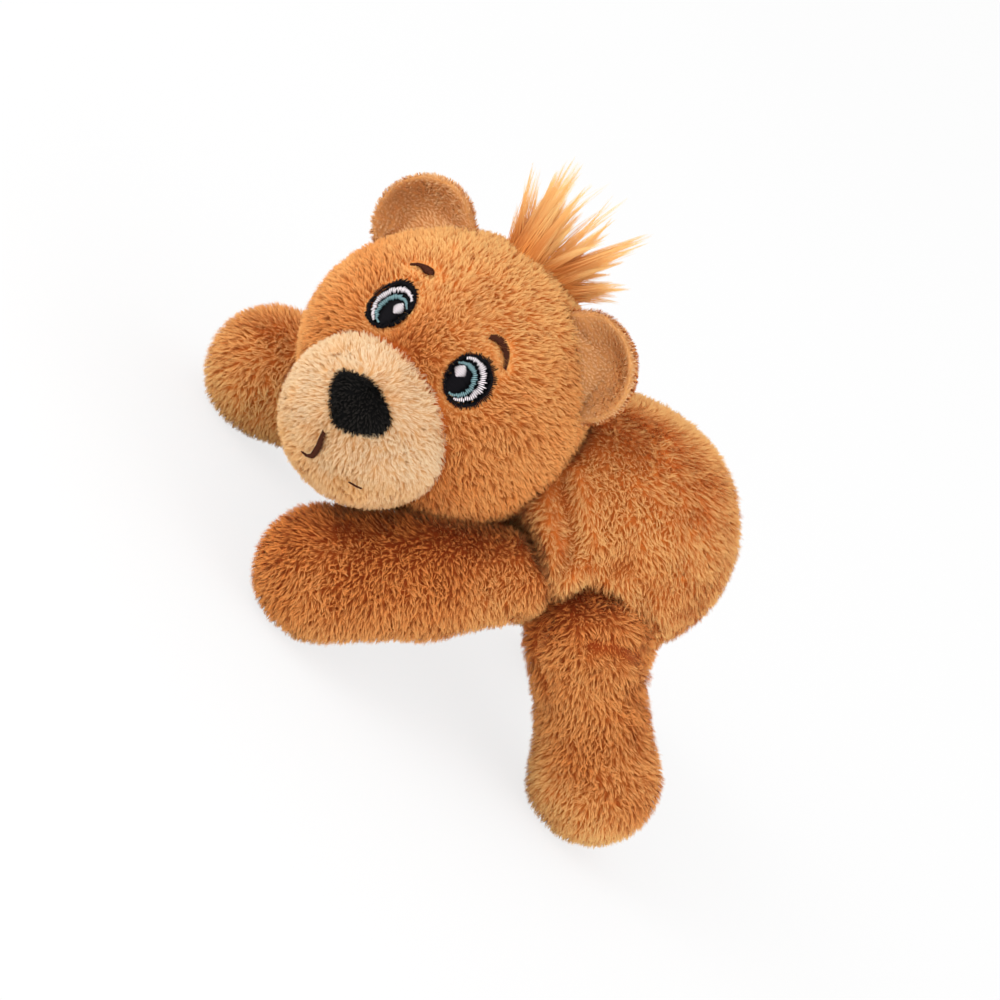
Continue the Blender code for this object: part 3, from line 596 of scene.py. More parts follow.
def mesh_object(name, points, faces, uvs, normals, look):
    """One mesh from points (mm), a list of (count, n) face arrays, and a uv and a normal for each point."""
    mesh = bpy.data.meshes.new(name)
    points = (np.asarray(points) + SHIFT) * MM
    loops = np.concatenate([f.ravel() for f in faces]).astype(np.int32)
    sizes = np.concatenate([np.full(len(f), f.shape[1]) for f in faces])
    starts = np.concatenate([[0], np.cumsum(sizes)[:-1]]).astype(np.int32)
    mesh.vertices.add(len(points))
    mesh.vertices.foreach_set("co", points.astype(np.float32).ravel())
    mesh.loops.add(len(loops))
    mesh.loops.foreach_set("vertex_index", loops)
    mesh.polygons.add(len(sizes))
    mesh.polygons.foreach_set("loop_start", starts)
    mesh.update(calc_edges=True)
    layer = mesh.uv_layers.new(name="OFBake")
    layer.data.foreach_set("uv", np.asarray(uvs)[loops].astype(np.float32).ravel())
    if normals is not None:
        bent = mesh.attributes.new("custom_normal", "FLOAT_VECTOR", "POINT")
        bent.data.foreach_set("vector", unit(normals).astype(np.float32).ravel())
    mesh.shade_smooth()
    mesh.materials.append(look)
    return placed(name, mesh)


def grid_faces(rows, columns):
    """Quads of a grid that wraps round its columns."""
    row, column = np.meshgrid(np.arange(rows - 1) * columns, np.arange(columns), indexing="ij")
    beside = (column + 1) % columns
    corners = [row + column, row + beside, row + columns + beside, row + columns + column]
    return np.stack([c.ravel() for c in corners], axis=1)


def closed_grid(points, normals, uvs):
    """Points, faces, uvs and normals of a wrapped grid with a point at each end."""
    rows, columns = points.shape[:2]
    faces, column = grid_faces(rows, columns), np.arange(columns)
    beside, last = (column + 1) % columns, (rows - 1) * columns
    top = np.stack([np.full(columns, rows * columns), beside, column], axis=1)
    bottom = np.stack([np.full(columns, rows * columns + 1), last + column, last + beside], axis=1)
    flat = points.reshape(-1, 3)
    away = flat - flat.mean(axis=0)
    if np.linalg.det(away[faces[:, :3]]).sum() < 0.0:
        faces, top, bottom = faces[:, ::-1], top[:, ::-1], bottom[:, ::-1]

    def capped(values):
        ends = [values[0].mean(axis=0), values[-1].mean(axis=0)]
        return np.concatenate([values.reshape(-1, values.shape[-1]), ends])

    return capped(points), [faces, np.concatenate([top, bottom])], capped(uvs), capped(normals)


# Pile

# A blade tapers to a share of its root's width and reads its colour from a narrow strip of tones
BLADE_TAPER, BLADE_ALONG, TONE_WIDTH = 0.35, (0.06, 0.06, 0.97, 0.97), 0.004
TONE_LIMITS = (0.03, 0.97)
# How far a blade's flow wanders with its place and with its clump
PLACE_WANDER, CLUMP_WANDER = 2.4, 2.2
# Shares of the cloth's normal, the blade's own and chance in the normal that a blade is shaded by
CLOTH_SHADE, BLADE_SHADE, LOOSE_SHADE = 0.8, 0.25, 0.12
STYLE = {
    "clump": 0.6, "channel": 10, "swirl": 3.0, "wander": 0.7, "lean": (32.0, 60.0), "gather": 0.8,
    "width": 0.05, "patch": 0.3, "fleck": 0.25,
}


def uneven(number):
    """A factor that makes lengths differ by up to 15 % either way, from a number from 0 to 1."""
    return 0.85 + 0.3 * number


def scatter(points, attributes, weight, density, rng):
    """Roots spread over a grid by area and weight: the quads are picked in turn, then a spot in each."""
    beside = np.roll(points, -1, axis=1)
    a, b, c, d = points[:-1], beside[:-1], beside[1:], points[1:]
    area = 0.5 * np.linalg.norm(np.cross(c - a, d - b), axis=-1)
    weights = area * 0.5 * (weight[:-1] + weight[1:])
    heap = np.cumsum(weights.ravel())
    count = int(heap[-1] * density)
    picked = np.searchsorted(heap, (np.arange(count) + rng.random(count)) / count * heap[-1])
    picked = np.minimum(picked, weights.size - 1)
    row, column = np.divmod(picked, points.shape[1])
    u, v = rng.random((2, count, 1))
    after = (column + 1) % points.shape[1]

    def at(values):
        top = values[row, column] * (1 - u) + values[row, after] * u
        return top * (1 - v) + (values[row + 1, column] * (1 - u) + values[row + 1, after] * u) * v

    return at(points), [at(value) for value in attributes]


def pile(roots, normals, flow, length, tone, rng, style):
    """Straight tapering blades of four points. They lean by their clump's own angle and gather over it."""
    count = len(roots)
    spot, numbers = clumps(roots, style["clump"], style["channel"])
    wander = [noise(roots, style["swirl"], style["channel"] + k) for k in (6, 7, 8)]
    wander = PLACE_WANDER * (np.stack(wander, axis=-1) - 0.5) + CLUMP_WANDER * (numbers - 0.5)
    flow = unit(flow + style["wander"] * flatten(wander, normals))
    low, high = style["lean"]
    angle = np.radians(low + (high - low) * (0.6 * numbers[:, 2:] + 0.4 * rng.random((count, 1))))
    heading = unit(normals * np.cos(angle) + flow * np.sin(angle))
    reach = length * uneven(numbers[:, :1]) * uneven(rng.random((count, 1)))
    tip = roots + reach * heading + style["gather"] * flatten(spot - roots, normals)
    heading = unit(tip - roots)
    side = unit(np.cross(heading, normals) + 1e-6)
    roll = rng.uniform(-0.5, 0.5, (count, 1))
    side = side * np.cos(roll) + np.cross(heading, side) * np.sin(roll)
    face = unit(np.cross(side, heading))
    wide = style["width"] * side
    end = BLADE_TAPER * wide
    points = np.stack([roots - wide, roots + wide, tip + end, tip - end], axis=1)
    bent = unit(CLOTH_SHADE * normals + BLADE_SHADE * face + LOOSE_SHADE * rng.normal(size=(count, 3)))
    bent = np.repeat(bent[:, None], 4, axis=1)
    shade = tone + style["patch"] * (numbers[:, 1:2] - 0.5)
    shade = np.clip(shade + style["fleck"] * (rng.random((count, 1)) - 0.5), 0.02, 0.98)
    across = np.array([-1.0, 1.0, 1.0, -1.0]) * TONE_WIDTH
    uvs = np.stack([shade + across, np.broadcast_to(BLADE_ALONG, (count, 4))], axis=-1)
    faces = 4 * np.arange(count)[:, None] + np.arange(4)
    return points.reshape(-1, 3), faces, uvs.reshape(-1, 2), bent.reshape(-1, 3)


def furred(name, grid, look, seed, flow, weight, tone, length, density=DENSITY, bare=0.0, **style):
    """A skin with pile on it, as one piece. The pile's flow, weight, tone and length are given on the grid,
    and so is how bare the cloth shows."""
    style = {**STYLE, **style}
    rng = np.random.default_rng(seed)
    normals = grid_normals(grid)
    flow = unit(flatten(flow, normals) + 1e-6)
    shape = grid.shape[:2]
    weight, tone, length = (np.broadcast_to(np.array(v, float), shape) for v in (weight, tone, length))
    given = (normals, flow, length[..., None], tone[..., None])
    roots, (n, f, reach, shade) = scatter(grid, given, weight, density, rng)
    hair, blades, hair_uvs, hair_bent = pile(roots, unit(n), unit(f), reach, shade, rng, style)
    skin_tone = np.clip(tone + 0.2 * (noise(grid, 1.0, 3) - 0.5), *TONE_LIMITS)
    skin_along = 0.02 + 0.03 * noise(grid, 0.7, 4) + 0.5 * bare
    skin, faces, uvs, bent = closed_grid(grid, normals, np.stack([skin_tone, skin_along], axis=-1))
    points = np.concatenate([skin, hair])
    points[:, 2] = np.maximum(points[:, 2], FLOOR_CLEAR)
    faces, uvs = [*faces, len(skin) + blades], np.concatenate([uvs, hair_uvs])
    return mesh_object(name, points, faces, uvs, np.concatenate([bent, hair_bent]), look)


# Materials


def give(tree, node, inputs):
    """Sets each named input to a value, or links it to another node's output."""
    for key, value in dict(inputs).items():
        if isinstance(value, bpy.types.NodeSocket):
            tree.links.new(value, node.inputs[key])
        else:
            node.inputs[key].default_value = value


def new_material(name, roughness, **sockets):
    made = bpy.data.materials.new(name)
    made.use_nodes = True
    shader = made.node_tree.nodes["Principled BSDF"]
    given = {key.replace("_", " "): value for key, value in sockets.items()}
    give(made.node_tree, shader, {"Roughness": roughness, **given})
    return made, made.node_tree, shader


def add_node(tree, kind, inputs=(), **settings):
    node = tree.nodes.new("ShaderNode" + kind)
    for key, value in settings.items():
        setattr(node, key, value)
    give(tree, node, inputs)
    return node


COLOUR_ENDS = ("Root Dark", "Root Light", "Tip Dark", "Tip Light")


def pile_group():
    """Colour of a fibre from its tone and the place along it, root to tip, with flecks between strands."""
    group = bpy.data.node_groups.new("pile_colour", "ShaderNodeTree")
    for label in COLOUR_ENDS:
        group.interface.new_socket(label, in_out="INPUT", socket_type="NodeSocketColor")
    for label in ("Tone", "Along", "Fleck"):
        group.interface.new_socket(label, in_out="INPUT", socket_type="NodeSocketFloat")
    group.interface.new_socket("Color", in_out="OUTPUT", socket_type="NodeSocketColor")
    given, out = group.nodes.new("NodeGroupInput").outputs, group.nodes.new("NodeGroupOutput")

    def mix(factor, a, b):
        node = add_node(group, "Mix", {"Factor": factor, "A": a, "B": b}, data_type="RGBA")
        return node.outputs["Result"]

    def maths(operation, *values, **settings):
        node = add_node(group, "Math", enumerate(values), operation=operation, **settings)
        return node.outputs["Value"]

    place = add_node(group, "CombineXYZ", {"X": given["Tone"], "Y": given["Along"]})
    spread = {0: place.outputs["Vector"], 1: (90.0, 1.5, 0.0)}
    spread = add_node(group, "VectorMath", spread, operation="MULTIPLY").outputs["Vector"]
    flecks = add_node(group, "TexNoise", {"Scale": 1.0, "Detail": 1.0, "Vector": spread})
    centred = maths("SUBTRACT", flecks.outputs["Fac"], 0.5)
    flecked = maths("MULTIPLY_ADD", centred, given["Fleck"], given["Tone"], use_clamp=True)
    root = mix(flecked, given["Root Dark"], given["Root Light"])
    tip = mix(flecked, given["Tip Dark"], given["Tip Light"])
    rise = {"From Min": 0.1, "Value": given["Along"]}
    rise = add_node(group, "MapRange", rise, interpolation_type="SMOOTHSTEP").outputs["Result"]
    give(group, out, {"Color": mix(rise, root, tip)})
    return group


PILE_GROUP = pile_group()


def pile_material(name, colours, roughness, fleck=0.6, **sockets):
    made, tree, shader = new_material(name, roughness, **sockets)
    where = add_node(tree, "UVMap", uv_map="OFBake")
    split = add_node(tree, "SeparateXYZ", {"Vector": where.outputs["UV"]}).outputs
    given = {label: (*colour, 1.0) for label, colour in zip(COLOUR_ENDS, colours)}
    given.update({"Fleck": fleck, "Tone": split["X"], "Along": split["Y"]})
    colour = add_node(tree, "Group", given, node_tree=PILE_GROUP)
    give(tree, shader, {"Base Color": colour.outputs["Color"]})
    return made


SOFT = {"Specular_IOR_Level": 0.1, "Sheen_Weight": 0.75, "Sheen_Roughness": 0.45}
SOFT["Sheen_Tint"] = (1.0, 0.56, 0.22, 1.0)
ORANGE, CREAM, VELOUR = (
    pile_material(name, colours, 0.9, **SOFT)
    for name, *colours in (
        (
            "orange_brown_pile",
            (0.34, 0.05, 0.008), (0.95, 0.28, 0.05), (1.0, 0.34, 0.075), (1.0, 0.67, 0.26),
        ),
        ("cream_pile", (0.80, 0.33, 0.08), (0.94, 0.62, 0.30), (1.0, 0.58, 0.22), (1.0, 0.89, 0.66)),
        ("tan_velour", (0.60, 0.20, 0.055), (0.78, 0.38, 0.13), (0.88, 0.45, 0.18), (1.0, 0.66, 0.35)),
    )
)
GOLDEN = pile_material(
    "golden_hair",
    ((0.72, 0.20, 0.03), (0.95, 0.38, 0.07), (1.0, 0.50, 0.13), (1.0, 0.78, 0.34)),
    0.5, Specular_IOR_Level=0.3, Sheen_Weight=0.2,
)
BLACK_PILE = pile_material(
    "black_pile",
    ((0.002, 0.002, 0.002), (0.02, 0.018, 0.016), (0.004, 0.003, 0.003), (0.45, 0.40, 0.34)),
    0.8, fleck=0.02, Specular_IOR_Level=0.1,
)
THREADS = {
    colour: pile_material(
        colour + "_stitches", (dark, dark, light, light), 0.5, fleck=0.8, Specular_IOR_Level=0.05,
    )
    for colour, dark, light in (
        ("black", (0.002, 0.002, 0.003), (0.008, 0.007, 0.009)),
        ("white", (0.40, 0.32, 0.36), (0.98, 0.90, 0.92)),
        ("teal", (0.10, 0.21, 0.24), (0.26, 0.42, 0.44)),
        ("brown", (0.03, 0.008, 0.004), (0.075, 0.022, 0.011)),
    )
}


# Plush pieces


def plush(piece, body, slot, *nodes, fill=0.7):
    """A soft piece in place of its solids, attached to the body unless that is None."""
    if body:
        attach(piece, body)
    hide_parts(*nodes)


def in_fold(grid):
    return np.clip(creased(grid, FOLDS) / FOLD_FULL, 0.0, 1.0)


def dress_body():
    grid = body_grid()
    fold = in_fold(grid)
    near_head = ball(grid, HEAD_CENTRE, HEAD_RADIUS)
    near_limb = np.minimum.reduce([limb_form(grid, name) for name in LIMBS])
    weight = over(near_head, 1.0, 2.0, 0.2) * over(near_limb, -0.6, 1.2, 0.2) * (1.0 - FOLD_THIN * fold)
    # Painted shade: the tone is darker in the folds and close to the head and the limbs, where shade falls
    close = over(np.minimum(near_limb, near_head), 3.5, -3.5)
    tone = 0.72 + mottle(grid, 7.0, 5) - 0.5 * np.maximum(fold, 0.7 * close)
    flow = DOWN + np.tanh(grid[..., :1] / 8.0) * (0.6, 0.0, 0.0)
    piece = furred("body_plush", grid, ORANGE, 1, flow, weight, tone, PILE - FOLD_TRIM * fold)
    plush(piece, "torso", "orange_brown_plush", "body_skin", "body_stuffing")


def dress_limb(name, seed):
    """A limb's skin with its pile, attached to no body."""
    grid = limb_grid(name)
    fold, height = in_fold(grid), grid[..., 2]
    root, paw, _, side = limb_shape(name)
    weight = over(body_form(grid), -6.0, 3.0, 0.1) * over(head_swept(grid, name), -0.4, 1.0, 0.4)
    weight = weight * np.where(height < PILE_SINK + 0.4, 0.45, 1.0) * (1.0 - FOLD_THIN * fold)
    if name[:3] == "arm":
        # Painted shadow: an arm is darker on its side that faces up under the head. The left arm is darker
        # all over than the right.
        tone = 0.4 - 0.26 * side - 0.25 * grid_normals(grid) @ HEAD_SHADOW_UP
        # Painted highlight: the arm is lighter towards its root, where its end catches the light
        tone = tone + 0.3 * over(ball(grid, root, 6.0), 10.0, -10.0)
    else:
        # Painted light and shade: the leg is lighter low down at the foot and darker near the body, under
        # the torso's overhanging edge
        tone = 0.27 + 0.6 * over(height, 16.0, -8.0) - 0.25 * over(body_form(grid), 5.0, -5.0)
    # Painted shade: the tone is darker in the folds
    tone = tone + mottle(grid, 7.0, 6) - FOLD_SHADE * fold
    length = np.where(height < 1.6, 1.3, PILE - FOLD_TRIM * fold)
    flow = DOWN + 0.35 * unit(paw - root)
    piece = furred(name + "_plush", grid, ORANGE, seed, flow, weight, tone, length)
    start, end = ((point + SHIFT) * MM for point in skin_ends(name))
    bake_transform(piece)
    plush(piece, None, "orange_brown_plush", name + "_skin", name + "_stuffing")


# The share that stands for a place on the far side of the head
FAR = 9.0


def eye_share(local, side):
    """0 at the middle of the eye and 1 at its rim."""
    middle, right, up = patch(EYE_PLACE[side])
    away = unit(local) * HEAD_RADIUS - middle
    share = np.hypot(away @ right / EYE_HALF[0], away @ up / EYE_HALF[1])
    return np.where(local @ middle > 0.0, share, FAR)


def brow_distance(local, side):
    path = np.array(BROWS[side][0])
    line = on_head((side * BROW_PLACE[0], BROW_PLACE[1]), path, np.full(len(path), -PILE_SINK))
    return line_distance(local, line)


def patch(place):
    """Point of the head's front at a side and a height, and the directions right and up there."""
    side, height = place
    middle = np.array((side, -np.sqrt(HEAD_RADIUS**2 - side**2 - height**2), height))
    return middle, *facing(unit(middle))


def dress_head():
    """The head's skin. No pile stands under the muzzle and the embroidery, and round them it is short."""
    grid = head_grid()
    local = in_head(grid)
    near_eye = np.minimum(eye_share(local, 1.0), eye_share(local, -1.0))
    near_brow = np.minimum(brow_distance(local, 1.0), brow_distance(local, -1.0))
    weight = over(body_form(grid), -4.0, 3.0, 0.25) * over(muzzle_egg(local), -0.6, 0.6)
    weight = weight * over(near_eye, 1.02, 0.04) * over(near_brow, 0.7, 0.2)
    flow = unit(local - np.array((0.0, -30.0, -2.0))) @ HEAD.T + 0.45 * DOWN
    border = np.maximum(over(near_eye, 1.4, -0.25), over(near_brow, 2.4, -0.8))
    # Painted light: the tone is lighter towards the top of the head, where the light falls. The border
    # round the eyes and brows is the cloth's own lighter colour.
    tone = 0.27 + mottle(grid, 7.0, 7) + 0.35 * border + 0.5 * over(local[..., 2], 8.0, 12.0)
    bare = border * over(near_eye, 0.97, 0.03)
    piece = furred(
        "head_plush", grid, ORANGE, 11, flow, weight, tone, 1.9 - 1.1 * border, bare=bare, gather=0.6,
    )
    plush(piece, "head", "orange_brown_plush", "head_skin", "head_stuffing")


def dress_muzzle():
    grid = muzzle_grid()
    local = in_head(grid)
    across, above = local[..., 0] - NOSE_CENTRE[0], local[..., 2] - NOSE_CENTRE[2]
    nose = np.hypot(across, above) / nose_reach(np.arctan2(above, across))
    nose = np.where(local[..., 1] < NOSE_BACK, nose, FAR)
    weight = over(ball(local, (0, 0, 0), HEAD_RADIUS), -1.5, 1.5) * over(nose, 0.75, 0.1)
    flow = unit(local - np.array((1.5, -36.0, -3.0))) @ HEAD.T + 0.35 * DOWN
    tone = 0.6 + mottle(grid, 4.0, 8) - 0.38 * over(local[..., 2], -8.0, -12.0)
    piece = furred(
        "muzzle_plush", grid, CREAM, 12, flow, weight, tone, 1.6, density=FINE_DENSITY,
        patch=0.15, fleck=0.12, gather=0.4,
    )
    plush(piece, "head", "cream_plush", "muzzle_skin", "muzzle_stuffing")


CUSHION_ROWS, CUSHION_BACK = 18, 6


def lens_grid(outline, middle, out, surface, low, high, rows=CUSHION_ROWS, columns=64):
    """Closed cushion over a patch: rings of the outline scaled in, with a rounded rise and a flat back."""
    right, up = facing(out)
    turn = full_turn(columns)
    x, z = outline(turn)
    half = np.linspace(0.02, 1.0, rows)
    shares = np.concatenate([half, np.linspace(1.0, 0.02, CUSHION_BACK)])
    rises = np.concatenate([low + (high - low) * np.sqrt(1.0 - half**4), np.full(CUSHION_BACK, low)])
    spots = middle + shares[:, None, None] * (x[:, None] * right + z[:, None] * up)
    return surface(spots) + rises[:, None, None] * out


def nose_reach(turn):
    """Distance from the nose's middle to its outline, read between the listed angles."""
    degrees, reach = np.array(NOSE_OUTLINE).T
    return np.interp(np.degrees(turn) % 360.0, degrees, reach)


def nose_outline(turn):
    return nose_reach(turn) * np.cos(turn), nose_reach(turn) * np.sin(turn)


def on_egg(spots):
    """Spots moved along rays from the muzzle's middle onto its surface, in the head."""
    away = spots - MUZZLE_CENTRE
    return MUZZLE_CENTRE + away / np.linalg.norm(away / MUZZLE_RADII, axis=-1, keepdims=True)


def dress_nose():
    middle = on_egg(NOSE_CENTRE)
    out = unit(middle - MUZZLE_CENTRE)
    grid = from_head(lens_grid(nose_outline, middle, out, on_egg, -1.0, 1.2))
    weight = np.arange(len(grid))[:, None] < CUSHION_ROWS
    tone = 0.03 + 0.03 * noise(grid, 2.0, 9)
    piece = furred(
        "nose_pile", grid, BLACK_PILE, 13, DOWN, weight, tone, 0.9, density=FINE_DENSITY,
        wander=0.9, patch=0.0, fleck=0.05,
    )
    plush(piece, "head", "black_plush", "nose")


# Ears: two cupped panels that meet at their rim

EAR_ROWS, EAR_COLUMNS, EAR_SINK = 26, 96, 0.8


def ear_grid(label, front, back):
    """Closed cushion on the ear's cupped middle surface. Its faces stand off it and meet at the rim."""
    middle = np.array(EARS[label])
    up = unit((middle[0], 0.0, middle[2]))
    behind = np.array((0.0, 1.0, 0.0))
    across = np.cross(up, behind)
    turn = full_turn(EAR_COLUMNS)
    half = np.linspace(0.02, 1.0, EAR_ROWS)
    shares = np.concatenate([half, half[-2::-1]])
    round_off = np.sqrt(1.0 - half**6)
    puff = front * (0.4 + 0.6 * half**2) * round_off
    heights = np.concatenate([-puff, (back * round_off)[-2::-1]])
    wide = EAR_HALF[0] * np.cos(turn)
    rings = []
    for share, height in zip(shares, heights):
        foot = np.sqrt((HEAD_RADIUS - EAR_SINK) ** 2 - wide**2 - (middle[1] + height) ** 2)
        foot = foot - np.hypot(middle[0], middle[2])
        tall = np.where(np.sin(turn) > 0.01, EAR_HALF[1] * np.sin(turn), foot)
        tall = EAR_CORE_LIFT + share * (tall - EAR_CORE_LIFT)
        cup = EAR_CUP * (1.0 - share**2) + height
        rings.append(middle + share * wide[:, None] * across + tall[:, None] * up + cup * behind)
    return from_head(np.stack(rings)), shares


def dress_ear(label, seed):
    """A light front panel with a full rim, and a strip of the back panel that shows behind it."""
    name = "ear_" + label
    past_rim = np.arange(1 - EAR_ROWS, EAR_ROWS)[:, None]
    flow = HEAD @ unit((EARS[label][0], 0.0, EARS[label][2])) + 0.4 * DOWN
    grid, shares = ear_grid(label, EAR_FRONT, 0.0)
    # Painted highlight: the panel is lighter towards its rim
    tone = EAR_SHADE_TONE[label] + 0.5 * shares[:, None] ** 3 + mottle(grid, 3.0, 14)
    piece = furred(name + "_inner", grid, VELOUR, seed, flow, past_rim <= 2, tone, 0.8)
    plush(piece, "head", "tan_velour", name + "_front", fill=0.3)
    grid, _ = ear_grid(label, -0.3, EAR_BACK)
    tone = 0.5 + mottle(grid, 3.0, 15)
    weight, length = over(past_rim, -3, 3.0), 0.9 + 0.6 * over(past_rim, 3, 6.0)
    piece = furred(name + "_outer", grid, ORANGE, seed + 1, flow, weight, tone, length)
    plush(piece, "head", "orange_brown_plush", name + "_back", fill=0.3)


# Long hair

HAIR_STEPS, HAIR_WIDTH, HAIR_SPREAD, HAIR_WAVE, LOCK_LOOSE = 9, 0.042, 0.55, 0.12, 0.06


def dress_tuft():
    """Locks of long hair that fan out from the seam. Each is parted into strands, whose hairs start apart,
    draw together towards the tip, wave a little and taper."""
    rng, steps = np.random.default_rng(21), HAIR_STEPS
    locks = np.repeat(np.array(TUFT_LOCKS), LOCK_STRANDS, axis=0)
    count = len(locks)
    place = np.clip(locks[:, 0] + rng.normal(0.0, 0.03, count), 0.0, 1.0)
    root = at_share(TUFT_ROOTS, place)
    reach = locks[:, 1:2] * TUFT_ACROSS + locks[:, 2:3] * TUFT_RISE
    size = np.linalg.norm(reach, axis=1, keepdims=True)
    reach = reach * rng.uniform(0.7, 1.0, (count, 1)) + size * rng.normal(0.0, LOCK_LOOSE, (count, 3))
    reach = reach + size * rng.normal(-0.05, 0.2, (count, 1)) * TUFT_NEAR
    curl = size * flatten(rng.normal(0.0, LOCK_LOOSE, (count, 3)), unit(reach))
    strand = np.repeat(np.arange(count), (STRAND_HAIRS * locks[:, 3]).astype(int))
    count = len(strand)
    share = np.linspace(0.0, 1.0, steps)[None, :, None]
    part = 0.5 + 0.5 * rng.random((count, 1, 1)) ** 0.7
    apart = rng.normal(0.0, HAIR_SPREAD, (count, 1, 3)) * (1.0 - 0.9 * part * share)
    wave = np.sin(5.0 * share + rng.uniform(0.0, 6.3, (count, 1, 1)))
    wave = wave * rng.normal(0.0, HAIR_WAVE, (count, 1, 3)) * share
    path = root[strand][:, None] + reach[strand][:, None] * part * share
    path = path + curl[strand][:, None] * (part * share) ** 2 + apart + wave
    along = unit(np.gradient(path, axis=1))
    rise = unit(root)[strand][:, None]
    normal = unit(flatten(np.broadcast_to(TUFT_NEAR + 0.6 * rise, path.shape), along))
    side = unit(np.cross(along, normal))
    wide = HAIR_WIDTH * (1.0 - 0.85 * share**2)
    points = from_head(np.stack([path - side * wide, path + side * wide], axis=2).reshape(-1, 3))
    tone = 0.5 + 0.4 * (rng.random(len(locks))[strand] - 0.5)
    tone = np.clip(tone + 0.3 * (rng.random(count) - 0.5), *TONE_LIMITS)
    uv_tone = np.stack([tone - TONE_WIDTH, tone + TONE_WIDTH], axis=-1)[:, None, :]
    uvs = np.stack(np.broadcast_arrays(uv_tone, 0.08 + 0.88 * share), axis=-1).reshape(-1, 2)
    base = 2 * steps * np.arange(count)[:, None, None] + 2 * np.arange(steps - 1)[None, :, None]
    faces = (base + np.array([0, 1, 3, 2])).reshape(-1, 4)
    bent = np.repeat((normal + 0.3 * rise)[:, :, None], 2, axis=2).reshape(-1, 3) @ HEAD.T
    piece = mesh_object("tuft_hair", points, [faces], uvs, bent, GOLDEN)
    plush(piece, "head", "golden_long_pile", "tuft", fill=0.3)


# Embroidery


def on_head(place, spots, lift):
    """Flat (x, z) spots beside a place, laid on the head's ball at a height, in the head."""
    middle, right, up = patch(place)
    flat = middle + spots[..., :1] * right + spots[..., 1:] * up
    return unit(flat) * (HEAD_RADIUS + np.asarray(lift)[..., None])


def on_muzzle(place, spots, lift):
    middle = on_egg(np.asarray(place, float))
    out = unit(middle - MUZZLE_CENTRE)
    right, up = facing(out)
    return on_egg(middle + spots[..., :1] * right + spots[..., 1:] * up) + np.asarray(lift)[..., None] * out


THREAD_SIDES, THREAD_WIDTHS = 6, np.array([0.35, 0.9, 1.0, 1.0, 0.9, 0.35])
GROUND_SHARE, GROUND_SINK, GROUND_LOW, GROUND_HIGH = 0.97, 0.4, -0.42, -0.15


def stitches(name, place, pairs, lift, arch, radius, colour, seed, surface=on_head):
    """Satin stitches: a round thread from each start to its end, arched over the cloth between."""
    rng = np.random.default_rng(seed)
    starts, ends = (np.concatenate(group) for group in zip(*pairs))
    count, steps, sides = len(starts), len(THREAD_WIDTHS), THREAD_SIDES
    share = np.linspace(0.0, 1.0, steps)
    spots = starts[:, None] + (ends - starts)[:, None] * share[None, :, None]
    height = lift + arch * np.sin(pi * share) ** 0.6 + 0.03 * rng.normal(size=(count, 1))
    path = surface(place, spots, np.broadcast_to(height, spots.shape[:2]))
    above = surface(place, spots, np.broadcast_to(height + 1.0, spots.shape[:2]))
    out = unit(above - path)
    along = unit(np.gradient(path, axis=1))
    across = unit(np.cross(along, out))
    out = np.cross(across, along)
    turn = full_turn(sides, 0.5)
    spoke = np.cos(turn)[:, None] * across[:, :, None] + np.sin(turn)[:, None] * out[:, :, None]
    rings = path[:, :, None] + radius * THREAD_WIDTHS[None, :, None, None] * spoke
    tone = np.clip(0.5 + 0.5 * (rng.random(count) - 0.5), 0.05, 0.95)[:, None, None]
    shine = 0.35 + 0.5 * np.sin(pi * share)[None, :, None]
    uvs = np.stack(np.broadcast_arrays(tone + TONE_WIDTH * np.cos(turn)[None, None], shine), axis=-1)
    first = steps * sides * np.arange(count)[:, None, None]
    faces = (first + grid_faces(steps, sides)[None, :, [0, 3, 2, 1]]).reshape(-1, 4)
    caps = np.stack([np.arange(sides), (steps - 1) * sides + np.arange(sides)[::-1]])
    caps = (first + caps[None]).reshape(-1, sides)
    points, uvs = from_head(rings.reshape(-1, 3)), uvs.reshape(-1, 2)
    piece = mesh_object(name + "_stitch", points, [faces, caps], uvs, None, THREADS[colour])
    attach(piece, "head")
    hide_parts(name)


def ring_stitches(middle, half, first, last, count, width, side, rng, jitter=0.12):
    """Starts and ends of stitches across an arc, widest half way. Its angle is 0 outwards and 90 up."""
    share = np.linspace(0.0, 1.0, count)
    turn = np.radians(first + (last - first) * share)
    rim = np.stack([half[0] * np.cos(turn), half[1] * np.sin(turn)], axis=1)
    wide = 0.5 * width * np.sin(pi * np.clip(share, 0.04, 0.96)) ** 0.45
    low, high = (wide[:, None] * (1.0 + jitter * rng.normal(size=(count, 1))) for _ in range(2))
    flip, middle = np.array((side, 1.0)), np.array(middle)
    return (middle + rim - low * unit(rim)) * flip, (middle + rim + high * unit(rim)) * flip


def rows_stitches(middle, half, tilt, count, side, rng):
    """Parallel stitches that fill an oval, each as long as the oval is wide there."""
    rows = np.linspace(-0.95, 0.95, count)[:, None]
    up = unit(tilt)
    across = np.array((up[1], -up[0]))
    long = half[0] * np.sqrt(1.0 - rows**2) * (1.0 + 0.08 * rng.normal(size=(count, 1)))
    flip, row = np.array((side, 1.0)), middle + half[1] * rows * up
    return (row - long * across) * flip, (row + long * across) * flip


